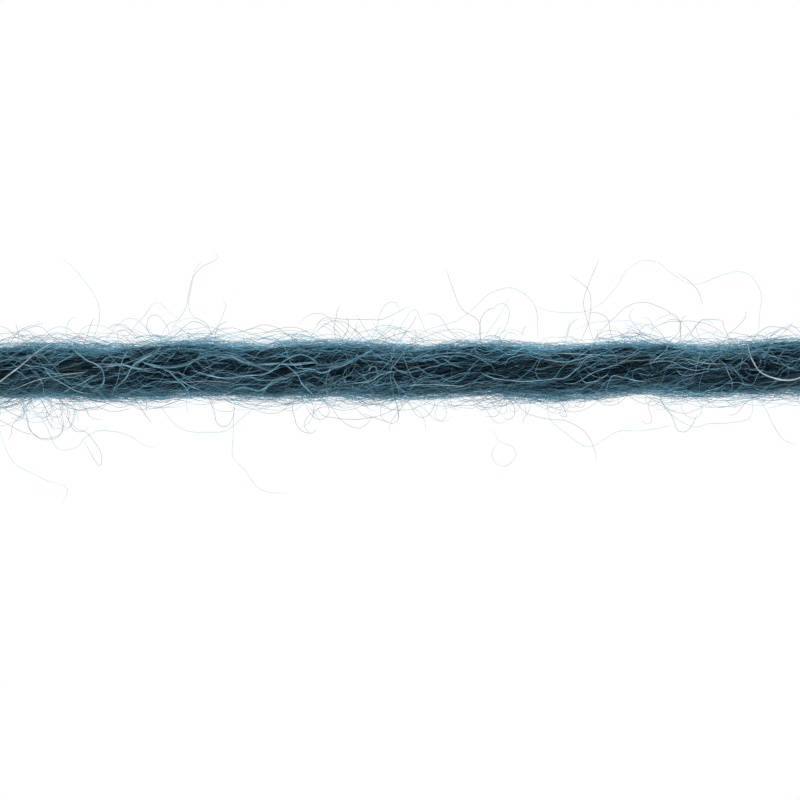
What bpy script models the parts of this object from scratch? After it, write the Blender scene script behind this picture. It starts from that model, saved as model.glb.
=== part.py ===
"""A cut length of soft three-ply wool knitting yarn, lying along X on the surface z = 0.

The three plies are laid together in an S twist, so the strand's section is a soft three-lobed
round that turns as it goes. The wool is uneven, as spun wool is, and each crest that meets the
surface is pressed flat there by the strand's own weight.
"""

import math

import bpy

# Driving sizes, in metres.
STRAND_LENGTH = 0.060
STRAND_RADIUS = 0.00172  # mean radius, out to the short fuzz on the plies
PLY_COUNT = 3
TWIST_PITCH = 0.0281  # the length in which a ply goes once round the strand
TOP_CREST_X = -0.0014  # a ply's crest is on top of the strand here
PRESSED_DEPTH = 0.00012  # how much of each lower crest the surface presses flat
END_LENGTH = 0.0009  # the length over which a cut end rounds off

# Shares of the strand's radius.
PLY_RELIEF = 0.085  # how far a ply's crest and groove stray from the mean round
GROOVE_SHARE = 0.2  # how much narrower a groove is than a crest
END_SHARE = 0.74  # what is left of the radius at the cut face

# How finely the solid is faceted.
SECTIONS_ALONG = 88
SECTIONS_PER_END = 3
POINTS_AROUND = 32

# How the spinner's hand shows: girth is a share of STRAND_RADIUS, and sway is how far the
# strand's line strays towards +Y, in metres, at x metres from the middle.
UNEVENNESS = (
    {"x": -0.0300, "girth": 1.02, "sway": -0.00002},
    {"x": -0.0250, "girth": 1.04, "sway": -0.00006},
    {"x": -0.0200, "girth": 1.02, "sway": -0.00010},
    {"x": -0.0150, "girth": 1.06, "sway": -0.00003},
    {"x": -0.0100, "girth": 1.03, "sway": 0.00003},
    {"x": -0.0050, "girth": 1.05, "sway": 0.00002},
    {"x": 0.0000, "girth": 1.00, "sway": -0.00006},
    {"x": 0.0050, "girth": 0.98, "sway": 0.00003},
    {"x": 0.0100, "girth": 1.01, "sway": -0.00002},
    {"x": 0.0150, "girth": 0.95, "sway": 0.00006},
    {"x": 0.0200, "girth": 0.93, "sway": 0.00004},
    {"x": 0.0250, "girth": 1.06, "sway": 0.00018},
    {"x": 0.0300, "girth": 1.03, "sway": 0.00024},
)

# Dyed wool: a deep petrol blue, matt.
WOOL_COLOUR = (0.026, 0.060, 0.082, 1.0)
WOOL_ROUGHNESS = 0.95


def clear_scene():
    """Start from an empty scene."""
    for found in list(bpy.data.objects):
        bpy.data.objects.remove(found)


def eased(x, column):
    """A column of UNEVENNESS at x, eased smoothly from each row to the next."""
    rows = UNEVENNESS
    if x <= rows[0]["x"]:
        return rows[0][column]
    for before, after in zip(rows, rows[1:]):
        if x <= after["x"]:
            along = (x - before["x"]) / (after["x"] - before["x"])
            ease = along * along * (3.0 - 2.0 * along)
            return before[column] + ease * (after[column] - before[column])
    return rows[-1][column]


def ply_relief(from_crest):
    """How far the plies stand out of the mean round, at an angle from a ply's crest."""
    turn = PLY_COUNT * from_crest
    return PLY_RELIEF * (math.cos(turn) - GROOVE_SHARE * math.cos(2.0 * turn))


def end_share(x):
    """The share of the radius that is left at x: 1 except where a cut end rounds off."""
    from_end = STRAND_LENGTH / 2.0 - abs(x)
    inwards = min(from_end / END_LENGTH, 1.0)
    bulge = math.sqrt(1.0 - (1.0 - inwards) ** 2)
    return END_SHARE + (1.0 - END_SHARE) * bulge


def section(x):
    """The strand's outline at x, as points once round from the top towards +Y."""
    radius = STRAND_RADIUS * eased(x, "girth")
    crest = radius * (1.0 + ply_relief(0.0))
    axis_y = eased(x, "sway")
    axis_z = crest - PRESSED_DEPTH
    twist = 2.0 * math.pi * (x - TOP_CREST_X) / TWIST_PITCH
    points = []
    for step in range(POINTS_AROUND):
        angle = 2.0 * math.pi * step / POINTS_AROUND
        reach = radius * (1.0 + ply_relief(angle - twist)) * end_share(x)
        y = axis_y + reach * math.sin(angle)
        z = axis_z + reach * math.cos(angle)
        points.append((x, y, max(z, 0.0)))
    return points


def section_places():
    """The x of each section: even along the strand, and closer together at the cut ends."""
    half = STRAND_LENGTH / 2.0
    shoulder = half - END_LENGTH
    even = [
        -shoulder + 2.0 * shoulder * step / (SECTIONS_ALONG - 1)
        for step in range(SECTIONS_ALONG)
    ]
    rounding = [
        half - END_LENGTH * (1.0 - math.cos(math.pi / 2.0 * step / SECTIONS_PER_END))
        for step in range(SECTIONS_PER_END)
    ]
    return [-x for x in rounding] + even + rounding[::-1]


def strand_points():
    """Every section of the strand, moved sideways so that the whole is centred on y = 0."""
    sections = [section(x) for x in section_places()]
    sides = [y for points in sections for _, y, _ in points]
    middle = (min(sides) + max(sides)) / 2.0
    return [[(x, y - middle, z) for x, y, z in points] for points in sections]


def lofted(sections):
    """Vertices and faces of a closed body that runs through the sections, its ends capped."""
    around = len(sections[0])
    vertices = [point for points in sections for point in points]
    faces = []
    for ring in range(len(sections) - 1):
        for step in range(around):
            here = ring * around + step
            beside = ring * around + (step + 1) % around
            faces.append((here, here + around, beside + around, beside))
    for ring, turn in ((0, 1), (len(sections) - 1, -1)):
        edge = [ring * around + step for step in range(around)]
        centre = len(vertices)
        vertices.append(tuple(sum(v[i] for v in sections[ring]) / around for i in range(3)))
        for step in range(around):
            faces.append((edge[step], edge[(step + 1) % around], centre)[::turn])
    return vertices, faces


def wool_material():
    """Matt dyed wool."""
    material = bpy.data.materials.new("dyed_wool")
    material.use_nodes = True
    shader = material.node_tree.nodes["Principled BSDF"]
    shader.inputs["Base Color"].default_value = WOOL_COLOUR
    shader.inputs["Roughness"].default_value = WOOL_ROUGHNESS
    shader.inputs["Metallic"].default_value = 0.0
    return material


def make_strand():
    """The strand, one solid: spun wool has no parts that come away."""
    vertices, faces = lofted(strand_points())
    mesh = bpy.data.meshes.new("strand")
    mesh.from_pydata(vertices, [], faces)
    mesh.validate()
    mesh.shade_smooth()
    mesh.materials.append(wool_material())
    strand = bpy.data.objects.new("strand", mesh)
    bpy.context.scene.collection.objects.link(strand)
    return strand


def main():
    """Model the cut length of yarn."""
    clear_scene()
    make_strand()


main()
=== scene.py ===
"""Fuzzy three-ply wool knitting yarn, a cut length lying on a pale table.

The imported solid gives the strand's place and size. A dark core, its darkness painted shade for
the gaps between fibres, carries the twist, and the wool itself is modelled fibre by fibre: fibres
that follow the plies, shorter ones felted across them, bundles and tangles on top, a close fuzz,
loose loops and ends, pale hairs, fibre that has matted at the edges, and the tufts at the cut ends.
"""

import math
import random

import bpy
from bpy.props import FloatProperty, FloatVectorProperty, IntProperty, PointerProperty
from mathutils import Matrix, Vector
from mathutils.bvhtree import BVHTree
from mathutils.geometry import interpolate_bezier


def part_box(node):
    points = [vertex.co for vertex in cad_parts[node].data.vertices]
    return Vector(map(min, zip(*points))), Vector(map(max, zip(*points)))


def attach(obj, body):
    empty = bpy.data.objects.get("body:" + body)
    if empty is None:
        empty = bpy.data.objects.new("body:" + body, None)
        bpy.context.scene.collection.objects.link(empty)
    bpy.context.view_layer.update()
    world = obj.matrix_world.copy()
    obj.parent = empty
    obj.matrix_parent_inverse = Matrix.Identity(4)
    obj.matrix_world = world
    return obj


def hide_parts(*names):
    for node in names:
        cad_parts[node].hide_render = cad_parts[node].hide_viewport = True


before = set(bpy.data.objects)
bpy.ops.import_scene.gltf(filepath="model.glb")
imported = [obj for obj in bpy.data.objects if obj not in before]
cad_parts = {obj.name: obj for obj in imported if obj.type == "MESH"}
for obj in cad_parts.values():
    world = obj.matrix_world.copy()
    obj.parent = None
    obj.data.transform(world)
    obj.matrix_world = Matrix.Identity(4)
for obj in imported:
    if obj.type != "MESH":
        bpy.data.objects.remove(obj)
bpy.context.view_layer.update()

bl_info = {
    "name": "Wool Knitting Yarn",
    "version": (1, 0, 0),
    "blender": (4, 5, 0),
    "location": "View3D > Sidebar > Yarn",
    "description": "Models a fuzzy plied wool yarn, fibre by fibre",
    "category": "Object",
}

MM = 0.001
BODY = "root"
NODE = "strand"
LOW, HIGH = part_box(NODE)
LENGTH = HIGH.x - LOW.x
MIDDLE_HEIGHT = HIGH.z / 2

# How the spinner's hand shows, as in the solid: girth is a share of the strand's radius, and
# sway is how far its line strays towards +Y, in millimetres, at x millimetres from the middle.
UNEVENNESS = (
    {"x": -30.0, "girth": 1.02, "sway": -0.02},
    {"x": -25.0, "girth": 1.04, "sway": -0.06},
    {"x": -20.0, "girth": 1.02, "sway": -0.10},
    {"x": -15.0, "girth": 1.06, "sway": -0.03},
    {"x": -10.0, "girth": 1.03, "sway": 0.03},
    {"x": -5.0, "girth": 1.05, "sway": 0.02},
    {"x": 0.0, "girth": 1.00, "sway": -0.06},
    {"x": 5.0, "girth": 0.98, "sway": 0.03},
    {"x": 10.0, "girth": 1.01, "sway": -0.02},
    {"x": 15.0, "girth": 0.95, "sway": 0.06},
    {"x": 20.0, "girth": 0.93, "sway": 0.04},
    {"x": 25.0, "girth": 1.06, "sway": 0.18},
    {"x": 30.0, "girth": 1.03, "sway": 0.24},
)

# The cut ends, measured inwards from the ends of the strand.
CORE_INSET = 0.6 * MM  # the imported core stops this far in, inside the tufts
CORE_DOME = 0.8 * MM  # and closes over in this length
TRIM_DEPTH = 1.3 * MM  # a laid fibre that would start past this line is left out
TRIM_RAGGED = 0.5 * MM  # how far outwards the line strays
TUFT_FIBRES = 520  # in each cut end
TUFT_REACH = 1.4  # how far out a tuft fills, in core radii

# How finely the core is made, and how fibres are laid on it.
CORE_SECTIONS = 161
CORE_POINTS = 37  # the last closes the ring
PLY_FIBRES = 2700  # on each ply
SHADES = 32  # a fibre takes one of this many shades, each with its own column on the map
NEXT_SEED = 31.0  # between the seeds of a fibre's draws
SHADE_SEED = 977.0  # from a piece's seed to that of its fibres' shades
NOISE_REACH = 3.0  # makes up for a noise that seldom strays past a third of the way
NOISE_WIDTH = 1000.0  # a laid fibre reads its noise somewhere across this width
LOCK_GAP = 3.7  # between the places where two locks read theirs
ROUTE_GAP = 7.31  # the same, for two fibres along routes
SHADE_GAP = 83.0  # the same, for the patches in the darkest shade and in the lightest
END_ROOM = 0.4  # the share of its length that a laid fibre keeps its middle off the two ends
RUB_FALL = 1.2  # how sharply rubbing falls off from the top and the underside to the sides
LAID_LIFT = 0.5 * MM  # how far above the core the fibres on top lie
HAIR_LIFT = 0.56 * MM  # the same, for the coarse hairs

# How loose wool wanders. The first three are millimetres from the strand's line.
SIDE = 1.4  # where the strand's side is
MAT_START = 1.45  # where matted fibre starts
INNERMOST = 0.9  # no loose fibre goes further in
STRAYS = 12  # single stray fibres, anywhere along the strand
EASING = 0.16  # the share of its bend that a fibre loses at each step
TIGHTEST = 1.5  # a fibre bends at most this many times its curl
LIES_ALONG = 0.45  # how strongly a fibre beside the strand turns to lie along it
LIES_ALONG_ON_TOP = 0.3  # the same, on top of the strand
TURNS_BACK = 0.9  # how strongly a fibre turns back when it is too far out

# How fibres drop on the strand and beside it.
DROP_STEP = 0.3 * MM  # between the points of such a fibre
BESIDE_HEIGHT = MIDDLE_HEIGHT * 0.97  # where it lies beside the strand
SMOOTHINGS = 3  # how often its heights are evened out: it bridges small dips

PATH_STEP = 2.0 * MM  # between the points that give the strand's line

# Fibres on top of the strand that the eye picks out: how many run together, and the points
# (x, y) they run through, in millimetres from the strand's middle, seen from above.
CROSSING = (
    (1, ((-25.0, 0.3), (-24.3, 0.6), (-23.7, 0.5), (-23.0, 0.2), (-22.0, 0.1), (-21.5, -0.2),
         (-21.1, -0.5))),
    (2, ((-24.2, 0.6), (-23.3, 0.65), (-22.6, 0.9), (-22.0, 1.3), (-21.5, 1.6))),
    (2, ((-22.0, 0.0), (-21.6, -0.5), (-21.0, -0.8), (-20.5, -1.1), (-20.0, -1.4), (-19.3, -1.5))),
    (1, ((-22.6, -0.1), (-22.3, -0.5), (-22.1, -1.1), (-22.2, -1.7))),
    (1, ((-21.9, 1.5), (-21.7, 1.2), (-21.3, 1.1), (-21.0, 1.35), (-20.8, 1.6))),
    (6, ((-20.9, 1.5), (-20.2, 1.1), (-19.8, 0.8), (-19.3, 0.5), (-18.8, 0.3), (-18.4, 0.0),
         (-18.3, -0.4), (-18.4, -0.9), (-18.8, -1.2), (-19.3, -1.5))),
    (2, ((-18.6, 0.0), (-18.4, 0.5), (-17.9, 0.8), (-17.2, 0.7), (-16.6, 0.8))),
    (2, ((-17.3, 1.6), (-16.9, 1.0), (-16.6, 0.5), (-16.1, 0.1), (-15.6, -0.1), (-15.0, 0.0))),
    (1, ((-16.9, 1.1), (-17.2, 0.4), (-17.4, -0.3), (-17.6, -1.0), (-17.9, -1.4))),
    (6, ((-14.7, 1.9), (-15.1, 1.1), (-15.9, 0.6), (-16.4, 0.3), (-16.7, -0.1), (-17.0, -0.6),
         (-17.5, -1.0), (-17.9, -1.5))),
    (1, ((-16.7, -0.2), (-16.7, -0.8), (-16.3, -1.2), (-15.8, -1.6))),
    (6, ((-17.0, 0.85), (-16.4, 0.7), (-15.8, 0.4), (-15.2, 0.2), (-14.5, 0.1), (-13.6, 0.2),
         (-13.0, 0.4), (-12.4, 0.7), (-11.8, 0.85), (-11.2, 0.85), (-10.4, 0.7), (-9.8, 0.4),
         (-9.0, 0.2))),
    (5, ((-9.6, 0.3), (-8.5, 0.25), (-7.5, 0.3), (-6.5, 0.25), (-5.5, 0.35), (-4.6, 0.3))),
    (2, ((-18.9, 0.3), (-18.0, 0.3), (-17.2, 0.3), (-16.4, 0.1), (-15.9, 0.0), (-15.3, 0.1),
         (-14.6, 0.2))),
    (7, ((-14.9, 0.2), (-14.2, -0.2), (-13.9, -0.5), (-13.4, -1.0), (-13.1, -1.5), (-13.0, -1.9))),
    (1, ((-21.0, -1.5), (-20.4, -1.2), (-19.5, -0.8), (-18.9, -0.4))),
    (1, ((-18.2, -1.6), (-17.6, -1.6), (-17.0, -1.5), (-16.3, -1.2))),
    (2, ((-14.6, 0.2), (-14.3, 0.6), (-13.9, 1.1), (-13.6, 1.6), (-13.5, 2.0))),
    (6, ((-15.6, 0.8), (-15.0, 1.0), (-14.3, 1.15), (-13.4, 1.2), (-12.4, 1.1), (-11.2, 1.0),
         (-10.4, 0.9), (-9.6, 0.5), (-8.6, 0.1), (-8.0, -0.1), (-7.4, 0.1), (-6.9, 0.2))),
    (5, ((-12.9, -0.1), (-12.0, -0.3), (-11.2, -0.5), (-10.4, -0.5), (-9.6, -0.4), (-8.4, -0.3),
         (-7.8, 0.0), (-7.3, 0.4), (-6.8, 0.7), (-6.2, 0.9), (-5.6, 0.7), (-5.1, 0.3))),
    (2, ((-7.1, 0.3), (-6.6, -0.1), (-6.3, -0.4), (-6.1, -0.9), (-5.9, -1.1), (-5.4, -1.6))),
    (5, ((-11.4, -1.5), (-10.7, -1.4), (-10.2, -1.2), (-9.7, -1.1), (-9.2, -1.2), (-8.7, -1.3),
         (-8.3, -1.1), (-8.0, -0.9), (-7.6, -0.8), (-7.1, -0.8))),
    (2, ((-8.7, -1.6), (-8.3, -1.2), (-8.0, -0.8), (-7.5, -0.6), (-6.9, -0.4), (-6.3, -0.2),
         (-5.5, 0.0), (-4.4, 0.1))),
    (1, ((-13.8, -0.5), (-13.2, -0.9), (-12.6, -1.2), (-12.0, -1.6))),
    (1, ((-13.5, -0.5), (-13.2, 0.1), (-12.7, 0.5), (-12.3, 1.1))),
    (7, ((-5.0, 0.0), (-4.2, 0.1), (-3.4, 0.3), (-2.8, 0.6), (-2.2, 0.9), (-1.7, 1.2), (-0.8, 1.5))),
    (5, ((-5.2, 0.3), (-4.4, 0.3), (-3.6, 0.4), (-3.0, 0.6), (-2.4, 0.8), (-1.6, 0.8), (-0.8, 1.0))),
    (1, ((-3.3, 1.7), (-2.8, 1.3), (-2.2, 0.9), (-1.5, 0.6), (-1.0, 0.3), (-0.7, 0.0), (-0.2, -0.3))),
    (3, ((1.2, 1.6), (0.6, 1.3), (0.2, 0.9), (-0.2, 0.4), (-0.5, 0.0))),
    (1, ((0.1, 0.8), (-0.4, 0.2), (-0.6, -0.4), (-0.5, -1.0), (-0.4, -1.6), (-0.2, -2.2),
         (-0.1, -3.0))),
    (1, ((-3.3, 0.1), (-3.5, -0.4), (-3.4, -0.8), (-2.9, -1.1), (-2.3, -1.3))),
    (2, ((-2.9, 0.1), (-2.4, -0.4), (-2.0, -0.8), (-1.8, -1.2), (-1.5, -1.6))),
    (1, ((-3.1, -0.9), (-2.3, -0.8), (-1.7, -0.7), (-1.3, -0.4), (-0.8, -0.2))),
    (1, ((-2.1, -0.2), (-1.6, 0.2), (-1.4, 0.0), (-1.4, -0.4), (-1.8, -0.8), (-2.4, -0.9))),
    (2, ((-4.5, -1.5), (-4.6, -0.8), (-4.4, -0.1), (-4.2, 0.4))),
    (1, ((0.2, 0.8), (0.5, 0.0), (0.7, -0.4), (1.0, -1.0))),
    (2, ((0.9, 0.75), (1.8, 0.85), (2.4, 0.95), (3.2, 1.0), (4.0, 1.0), (4.6, 0.8), (5.4, 0.55))),
    (1, ((2.1, 0.9), (2.3, 1.2), (2.5, 1.7))),
    (1, ((-0.4, 1.6), (-0.4, 0.9), (-0.6, 0.4))),
    (1, ((9.2, 1.8), (8.9, 1.1), (8.5, 0.5), (8.2, 0.1), (7.8, -0.3), (7.3, -0.7), (7.0, -1.2),
         (6.6, -1.7), (6.2, -2.1))),
    (1, ((6.5, 0.2), (6.7, 0.6), (7.2, 0.8), (7.8, 0.9), (8.3, 0.75), (9.0, 0.6), (9.6, 0.5),
         (10.3, 0.45), (11.0, 0.6), (11.7, 0.8), (12.3, 0.9), (13.0, 0.8))),
    (1, ((11.8, 1.6), (11.9, 0.9), (12.2, 0.6), (12.8, 0.55), (13.4, 0.65), (14.0, 0.7), (14.6, 1.0),
         (15.0, 1.5))),
    (1, ((11.2, -0.4), (11.4, -0.8), (11.9, -0.8), (12.4, -0.7))),
    (1, ((5.0, -0.2), (5.6, -0.5), (6.3, -0.65), (7.1, -0.75), (8.0, -0.75), (8.8, -0.7), (9.6, -0.6),
         (10.3, -0.5), (10.8, -0.1), (11.3, 0.3))),
    (1, ((10.2, -0.9), (10.8, -0.9), (11.5, -0.5), (12.2, -0.1), (12.8, 0.1), (13.5, 0.3), (14.0, 0.6),
         (14.6, 0.9), (15.2, 1.4))),
    (1, ((9.6, -1.5), (10.6, -1.3), (11.3, -1.2), (12.0, -0.8), (12.7, -0.5))),
    (1, ((12.8, -1.5), (12.9, -0.9), (13.2, -0.4), (13.8, -0.5), (14.5, -0.7), (15.3, -0.8))),
    (1, ((15.0, 0.2), (15.6, 0.4), (16.3, 0.5), (16.9, 0.45), (17.4, 0.2), (17.9, 0.0), (18.6, -0.1))),
    (1, ((18.6, 1.8), (18.6, 0.8), (18.4, 0.2), (18.3, -0.3), (17.9, -0.6), (17.4, -0.8), (17.0, -1.1),
         (16.7, -1.6))),
    (1, ((18.4, 0.3), (18.9, 0.5), (19.1, 0.9), (19.1, 1.4))),
    (1, ((19.0, -0.2), (19.2, 0.3), (19.6, 0.6), (20.0, 0.9), (20.0, 1.4), (19.9, 1.9))),
    (1, ((19.9, 1.0), (20.3, 0.6), (20.8, 0.8), (21.3, 1.0), (21.6, 0.8), (22.0, 0.3))),
    (1, ((20.1, 0.4), (20.4, -0.3), (20.6, -0.7), (20.6, -1.4))),
    (1, ((20.4, 0.3), (20.8, -0.1), (21.2, -0.6), (21.3, -0.9), (20.8, -1.4))),
    (1, ((20.2, -0.9), (21.0, -0.8), (21.6, -1.0), (21.9, -0.9), (22.1, -0.4), (22.4, 0.0))),
    (1, ((22.2, 0.7), (23.3, 0.8), (23.9, 0.8), (24.4, 0.7), (25.2, 0.55))),
    (1, ((23.3, 0.3), (23.6, 0.9), (24.0, 1.3))),
    (1, ((21.0, -0.1), (21.2, 0.5), (21.3, 1.2))),
    (1, ((17.0, 1.8), (16.5, 1.1), (16.0, 0.7), (15.5, 0.3))),
)

# Single fibres that stand clear of the strand, in the same way.
FLYAWAYS = (
    ((-20.9, 6.8), (-20.2, 6.3), (-19.4, 5.3), (-18.8, 4.3), (-18.7, 3.2), (-18.9, 2.5), (-19.3, 1.6)),
    ((-11.3, 7.1), (-11.1, 6.8), (-11.6, 6.5), (-12.3, 6.1), (-12.8, 5.4), (-13.0, 4.8), (-13.2, 3.9),
     (-13.7, 3.1), (-14.4, 2.8), (-15.0, 1.9)),
    ((-12.3, 6.7), (-12.8, 6.1), (-13.0, 5.1), (-13.2, 3.9), (-12.8, 3.2), (-12.2, 3.0), (-11.7, 2.1),
     (-11.5, 1.5)),
    ((-17.2, 1.8), (-16.5, 2.8), (-15.9, 3.5), (-15.5, 4.1), (-15.1, 4.2), (-14.7, 3.8), (-13.8, 3.1)),
    ((-14.3, 2.3), (-14.1, 2.8), (-13.6, 3.1), (-12.8, 3.2), (-12.2, 2.9), (-11.8, 2.3), (-11.6, 1.6)),
    ((-20.2, 1.8), (-19.9, 2.5), (-19.3, 2.75), (-18.5, 2.7), (-17.8, 2.3), (-17.4, 1.8)),
    ((-23.8, 1.7), (-23.9, 2.4), (-24.0, 2.9)),
    ((-25.0, 2.4), (-24.2, 2.3), (-23.4, 2.0)),
    ((-17.6, 1.7), (-17.6, 2.4), (-17.2, 2.45), (-16.7, 2.1), (-16.2, 1.7)),
    ((-11.4, 2.1), (-10.3, 2.3), (-9.4, 2.5), (-8.7, 2.55), (-8.2, 2.3), (-7.2, 2.45), (-6.3, 2.4),
     (-5.4, 2.5)),
    ((-5.6, 2.0), (-4.9, 3.1), (-4.6, 3.2), (-2.9, 3.1), (-1.2, 3.1), (-0.4, 3.4), (0.5, 3.9)),
    ((-0.2, 1.8), (0.2, 2.9), (0.9, 3.7), (1.3, 3.1), (1.8, 1.9)),
    ((2.9, 6.1), (3.2, 5.2), (3.4, 4.6), (3.9, 3.7), (4.8, 3.1), (5.0, 2.5), (5.0, 1.6)),
    ((0.7, 1.6), (1.6, 2.4), (2.6, 2.7), (3.7, 3.1), (4.6, 3.8), (5.6, 4.7), (6.8, 5.1), (7.8, 4.7),
     (8.4, 4.0), (8.6, 3.1), (8.6, 1.9)),
    ((5.2, 1.8), (5.6, 2.5), (6.1, 3.2), (6.8, 4.5)),
    ((7.6, 2.0), (7.7, 2.5), (7.9, 2.7), (8.1, 2.7)),
    ((12.3, 6.8), (11.9, 5.8), (11.6, 5.0), (11.4, 4.1), (11.6, 3.2), (11.8, 2.6), (12.1, 1.8)),
    ((10.6, 5.9), (11.3, 5.4), (11.8, 4.9), (11.9, 4.0), (11.8, 2.9), (11.3, 1.8)),
    ((8.5, 3.9), (9.7, 3.6), (11.3, 3.6), (12.2, 3.9), (12.9, 4.4), (13.6, 5.3), (14.2, 6.2),
     (15.1, 6.8), (15.8, 6.8), (16.3, 6.6), (17.2, 5.9), (18.1, 5.4), (18.9, 5.4), (19.9, 5.8),
     (21.1, 6.1), (21.9, 5.9), (22.4, 5.3), (22.6, 4.6), (22.5, 3.5), (22.4, 1.9)),
    ((17.2, 5.9), (18.2, 5.2), (18.6, 4.6), (18.8, 4.0)),
    ((12.1, 1.9), (13.3, 3.1), (14.1, 3.9), (15.2, 4.2), (16.3, 3.9), (17.2, 3.3), (18.0, 2.6),
     (18.4, 1.8)),
    ((11.0, 2.5), (12.0, 2.9), (13.2, 3.0), (14.4, 3.0), (15.4, 2.4)),
    ((15.6, 2.5), (16.6, 2.9), (17.6, 3.0), (18.9, 2.9), (19.8, 2.5), (20.2, 2.1)),
    ((10.1, 1.7), (10.4, 2.3), (10.7, 3.1)),
    ((-25.0, -3.6), (-24.4, -5.1), (-23.8, -5.9), (-22.9, -6.4), (-21.8, -6.9), (-20.6, -7.3),
     (-20.6, -7.8), (-20.8, -8.3)),
    ((-25.0, -2.1), (-24.3, -2.7), (-23.2, -3.1), (-22.4, -3.0), (-21.4, -4.9), (-20.2, -4.9),
     (-19.8, -4.4), (-19.2, -4.0), (-18.6, -3.8), (-17.7, -3.9), (-16.8, -4.2), (-16.1, -4.7),
     (-15.3, -4.9)),
    ((-23.6, -1.6), (-23.3, -2.6), (-23.1, -3.6), (-22.6, -4.2), (-21.9, -4.4), (-21.3, -4.2),
     (-21.0, -3.7), (-21.2, -3.0), (-21.6, -3.0), (-21.7, -3.7)),
    ((-23.9, -1.5), (-23.5, -2.7), (-23.2, -3.8), (-22.5, -4.3), (-21.8, -4.3), (-21.2, -4.0),
     (-21.1, -3.2), (-21.3, -2.2), (-21.2, -1.5)),
    ((-23.2, -1.6), (-22.9, -2.5), (-22.4, -3.0), (-21.9, -2.9), (-21.7, -2.4), (-22.1, -2.0),
     (-22.7, -2.1)),
    ((-23.1, -1.5), (-22.8, -2.3), (-22.5, -2.8), (-22.1, -3.0), (-21.7, -2.8), (-21.7, -2.2),
     (-21.9, -1.6)),
    ((-25.3, -2.1), (-24.2, -2.7), (-23.1, -3.2), (-22.4, -3.3), (-21.6, -3.1)),
    ((-25.3, -3.0), (-24.2, -3.6), (-23.4, -4.0), (-22.6, -4.1)),
    ((-25.2, -1.7), (-24.0, -2.3), (-22.7, -2.7), (-21.4, -2.5), (-20.2, -1.7)),
    ((-21.5, -1.8), (-20.4, -3.5), (-19.6, -3.9), (-19.0, -4.5), (-18.6, -5.1), (-18.5, -5.6),
     (-18.6, -6.1), (-19.1, -5.4), (-19.6, -4.5)),
    ((-21.4, -3.8), (-21.9, -3.2), (-22.0, -2.6), (-21.4, -2.2), (-20.6, -2.2), (-20.2, -2.8),
     (-20.4, -3.5), (-20.8, -3.8), (-21.3, -3.6)),
    ((-15.4, -1.6), (-14.6, -2.8), (-13.9, -3.5), (-13.1, -3.9), (-12.1, -3.9), (-11.0, -3.9),
     (-10.5, -3.6), (-9.8, -3.0), (-8.6, -2.0), (-8.0, -1.5)),
    ((-10.3, -1.6), (-10.4, -3.8), (-10.4, -5.4), (-10.1, -5.8), (-9.6, -6.3), (-8.9, -7.2),
     (-8.2, -7.6), (-7.0, -7.7)),
    ((-11.8, -1.7), (-11.7, -2.4), (-11.3, -2.6), (-10.4, -2.6), (-10.3, -2.1)),
    ((-12.0, -1.7), (-11.6, -2.7), (-11.4, -3.4), (-10.9, -3.6), (-10.5, -3.2), (-10.3, -2.4)),
    ((-5.0, -1.6), (-5.4, -2.7), (-5.6, -3.3), (-6.2, -3.6)),
    ((-4.6, -1.7), (-5.2, -2.6), (-5.7, -2.9), (-6.0, -3.5), (-5.6, -4.0)),
    ((-5.2, -2.4), (-4.8, -2.9), (-4.2, -3.0), (-3.4, -3.1), (-2.3, -3.1), (-1.5, -3.0)),
    ((-5.4, -2.6), (-4.6, -2.3), (-3.9, -2.5), (-3.0, -2.5), (-2.0, -2.1)),
    ((-2.3, -2.8), (-1.4, -3.1), (-0.5, -3.4), (-0.1, -3.2), (-0.1, -2.4)),
    ((5.8, -3.8), (6.2, -4.5), (7.0, -4.8), (7.2, -5.4), (6.7, -6.0), (6.0, -5.9), (5.7, -5.2),
     (6.1, -4.6)),
    ((6.8, -1.6), (7.9, -2.7), (9.2, -3.1), (10.3, -3.2), (11.3, -3.7), (11.9, -4.4), (12.2, -5.2),
     (12.2, -5.7)),
    ((9.0, -2.2), (9.4, -3.2), (10.2, -3.9), (11.1, -4.6), (11.9, -4.8), (12.6, -4.4), (13.7, -3.8),
     (15.1, -3.8), (16.9, -3.5)),
    ((16.0, -1.9), (16.8, -2.7), (17.6, -3.3), (18.4, -3.6), (19.3, -3.4), (20.3, -3.4), (21.4, -3.2),
     (22.0, -2.8), (22.0, -1.6)),
    ((21.6, -1.4), (22.4, -1.9), (22.8, -2.4), (23.3, -3.5), (23.9, -4.4), (24.7, -4.7)),
    ((22.9, -2.4), (23.6, -2.3), (24.2, -2.1), (25.0, -2.0)),
    ((24.5, -1.5), (24.6, -1.9), (25.2, -1.8)),
)

# Coarse hairs that lie on the strand or are caught in its edge, in the same way.
COARSE_HAIRS = (
    ((-26.3, -1.9), (-25.0, -0.95), (-23.6, 0.1), (-22.5, 1.1), (-21.5, 1.8)),
    ((21.7, 1.7), (21.7, 1.0), (21.9, 0.4), (22.3, -0.2), (23.2, -0.6), (24.1, -0.7), (25.0, -0.4),
     (26.2, 0.4)),
)

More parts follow.
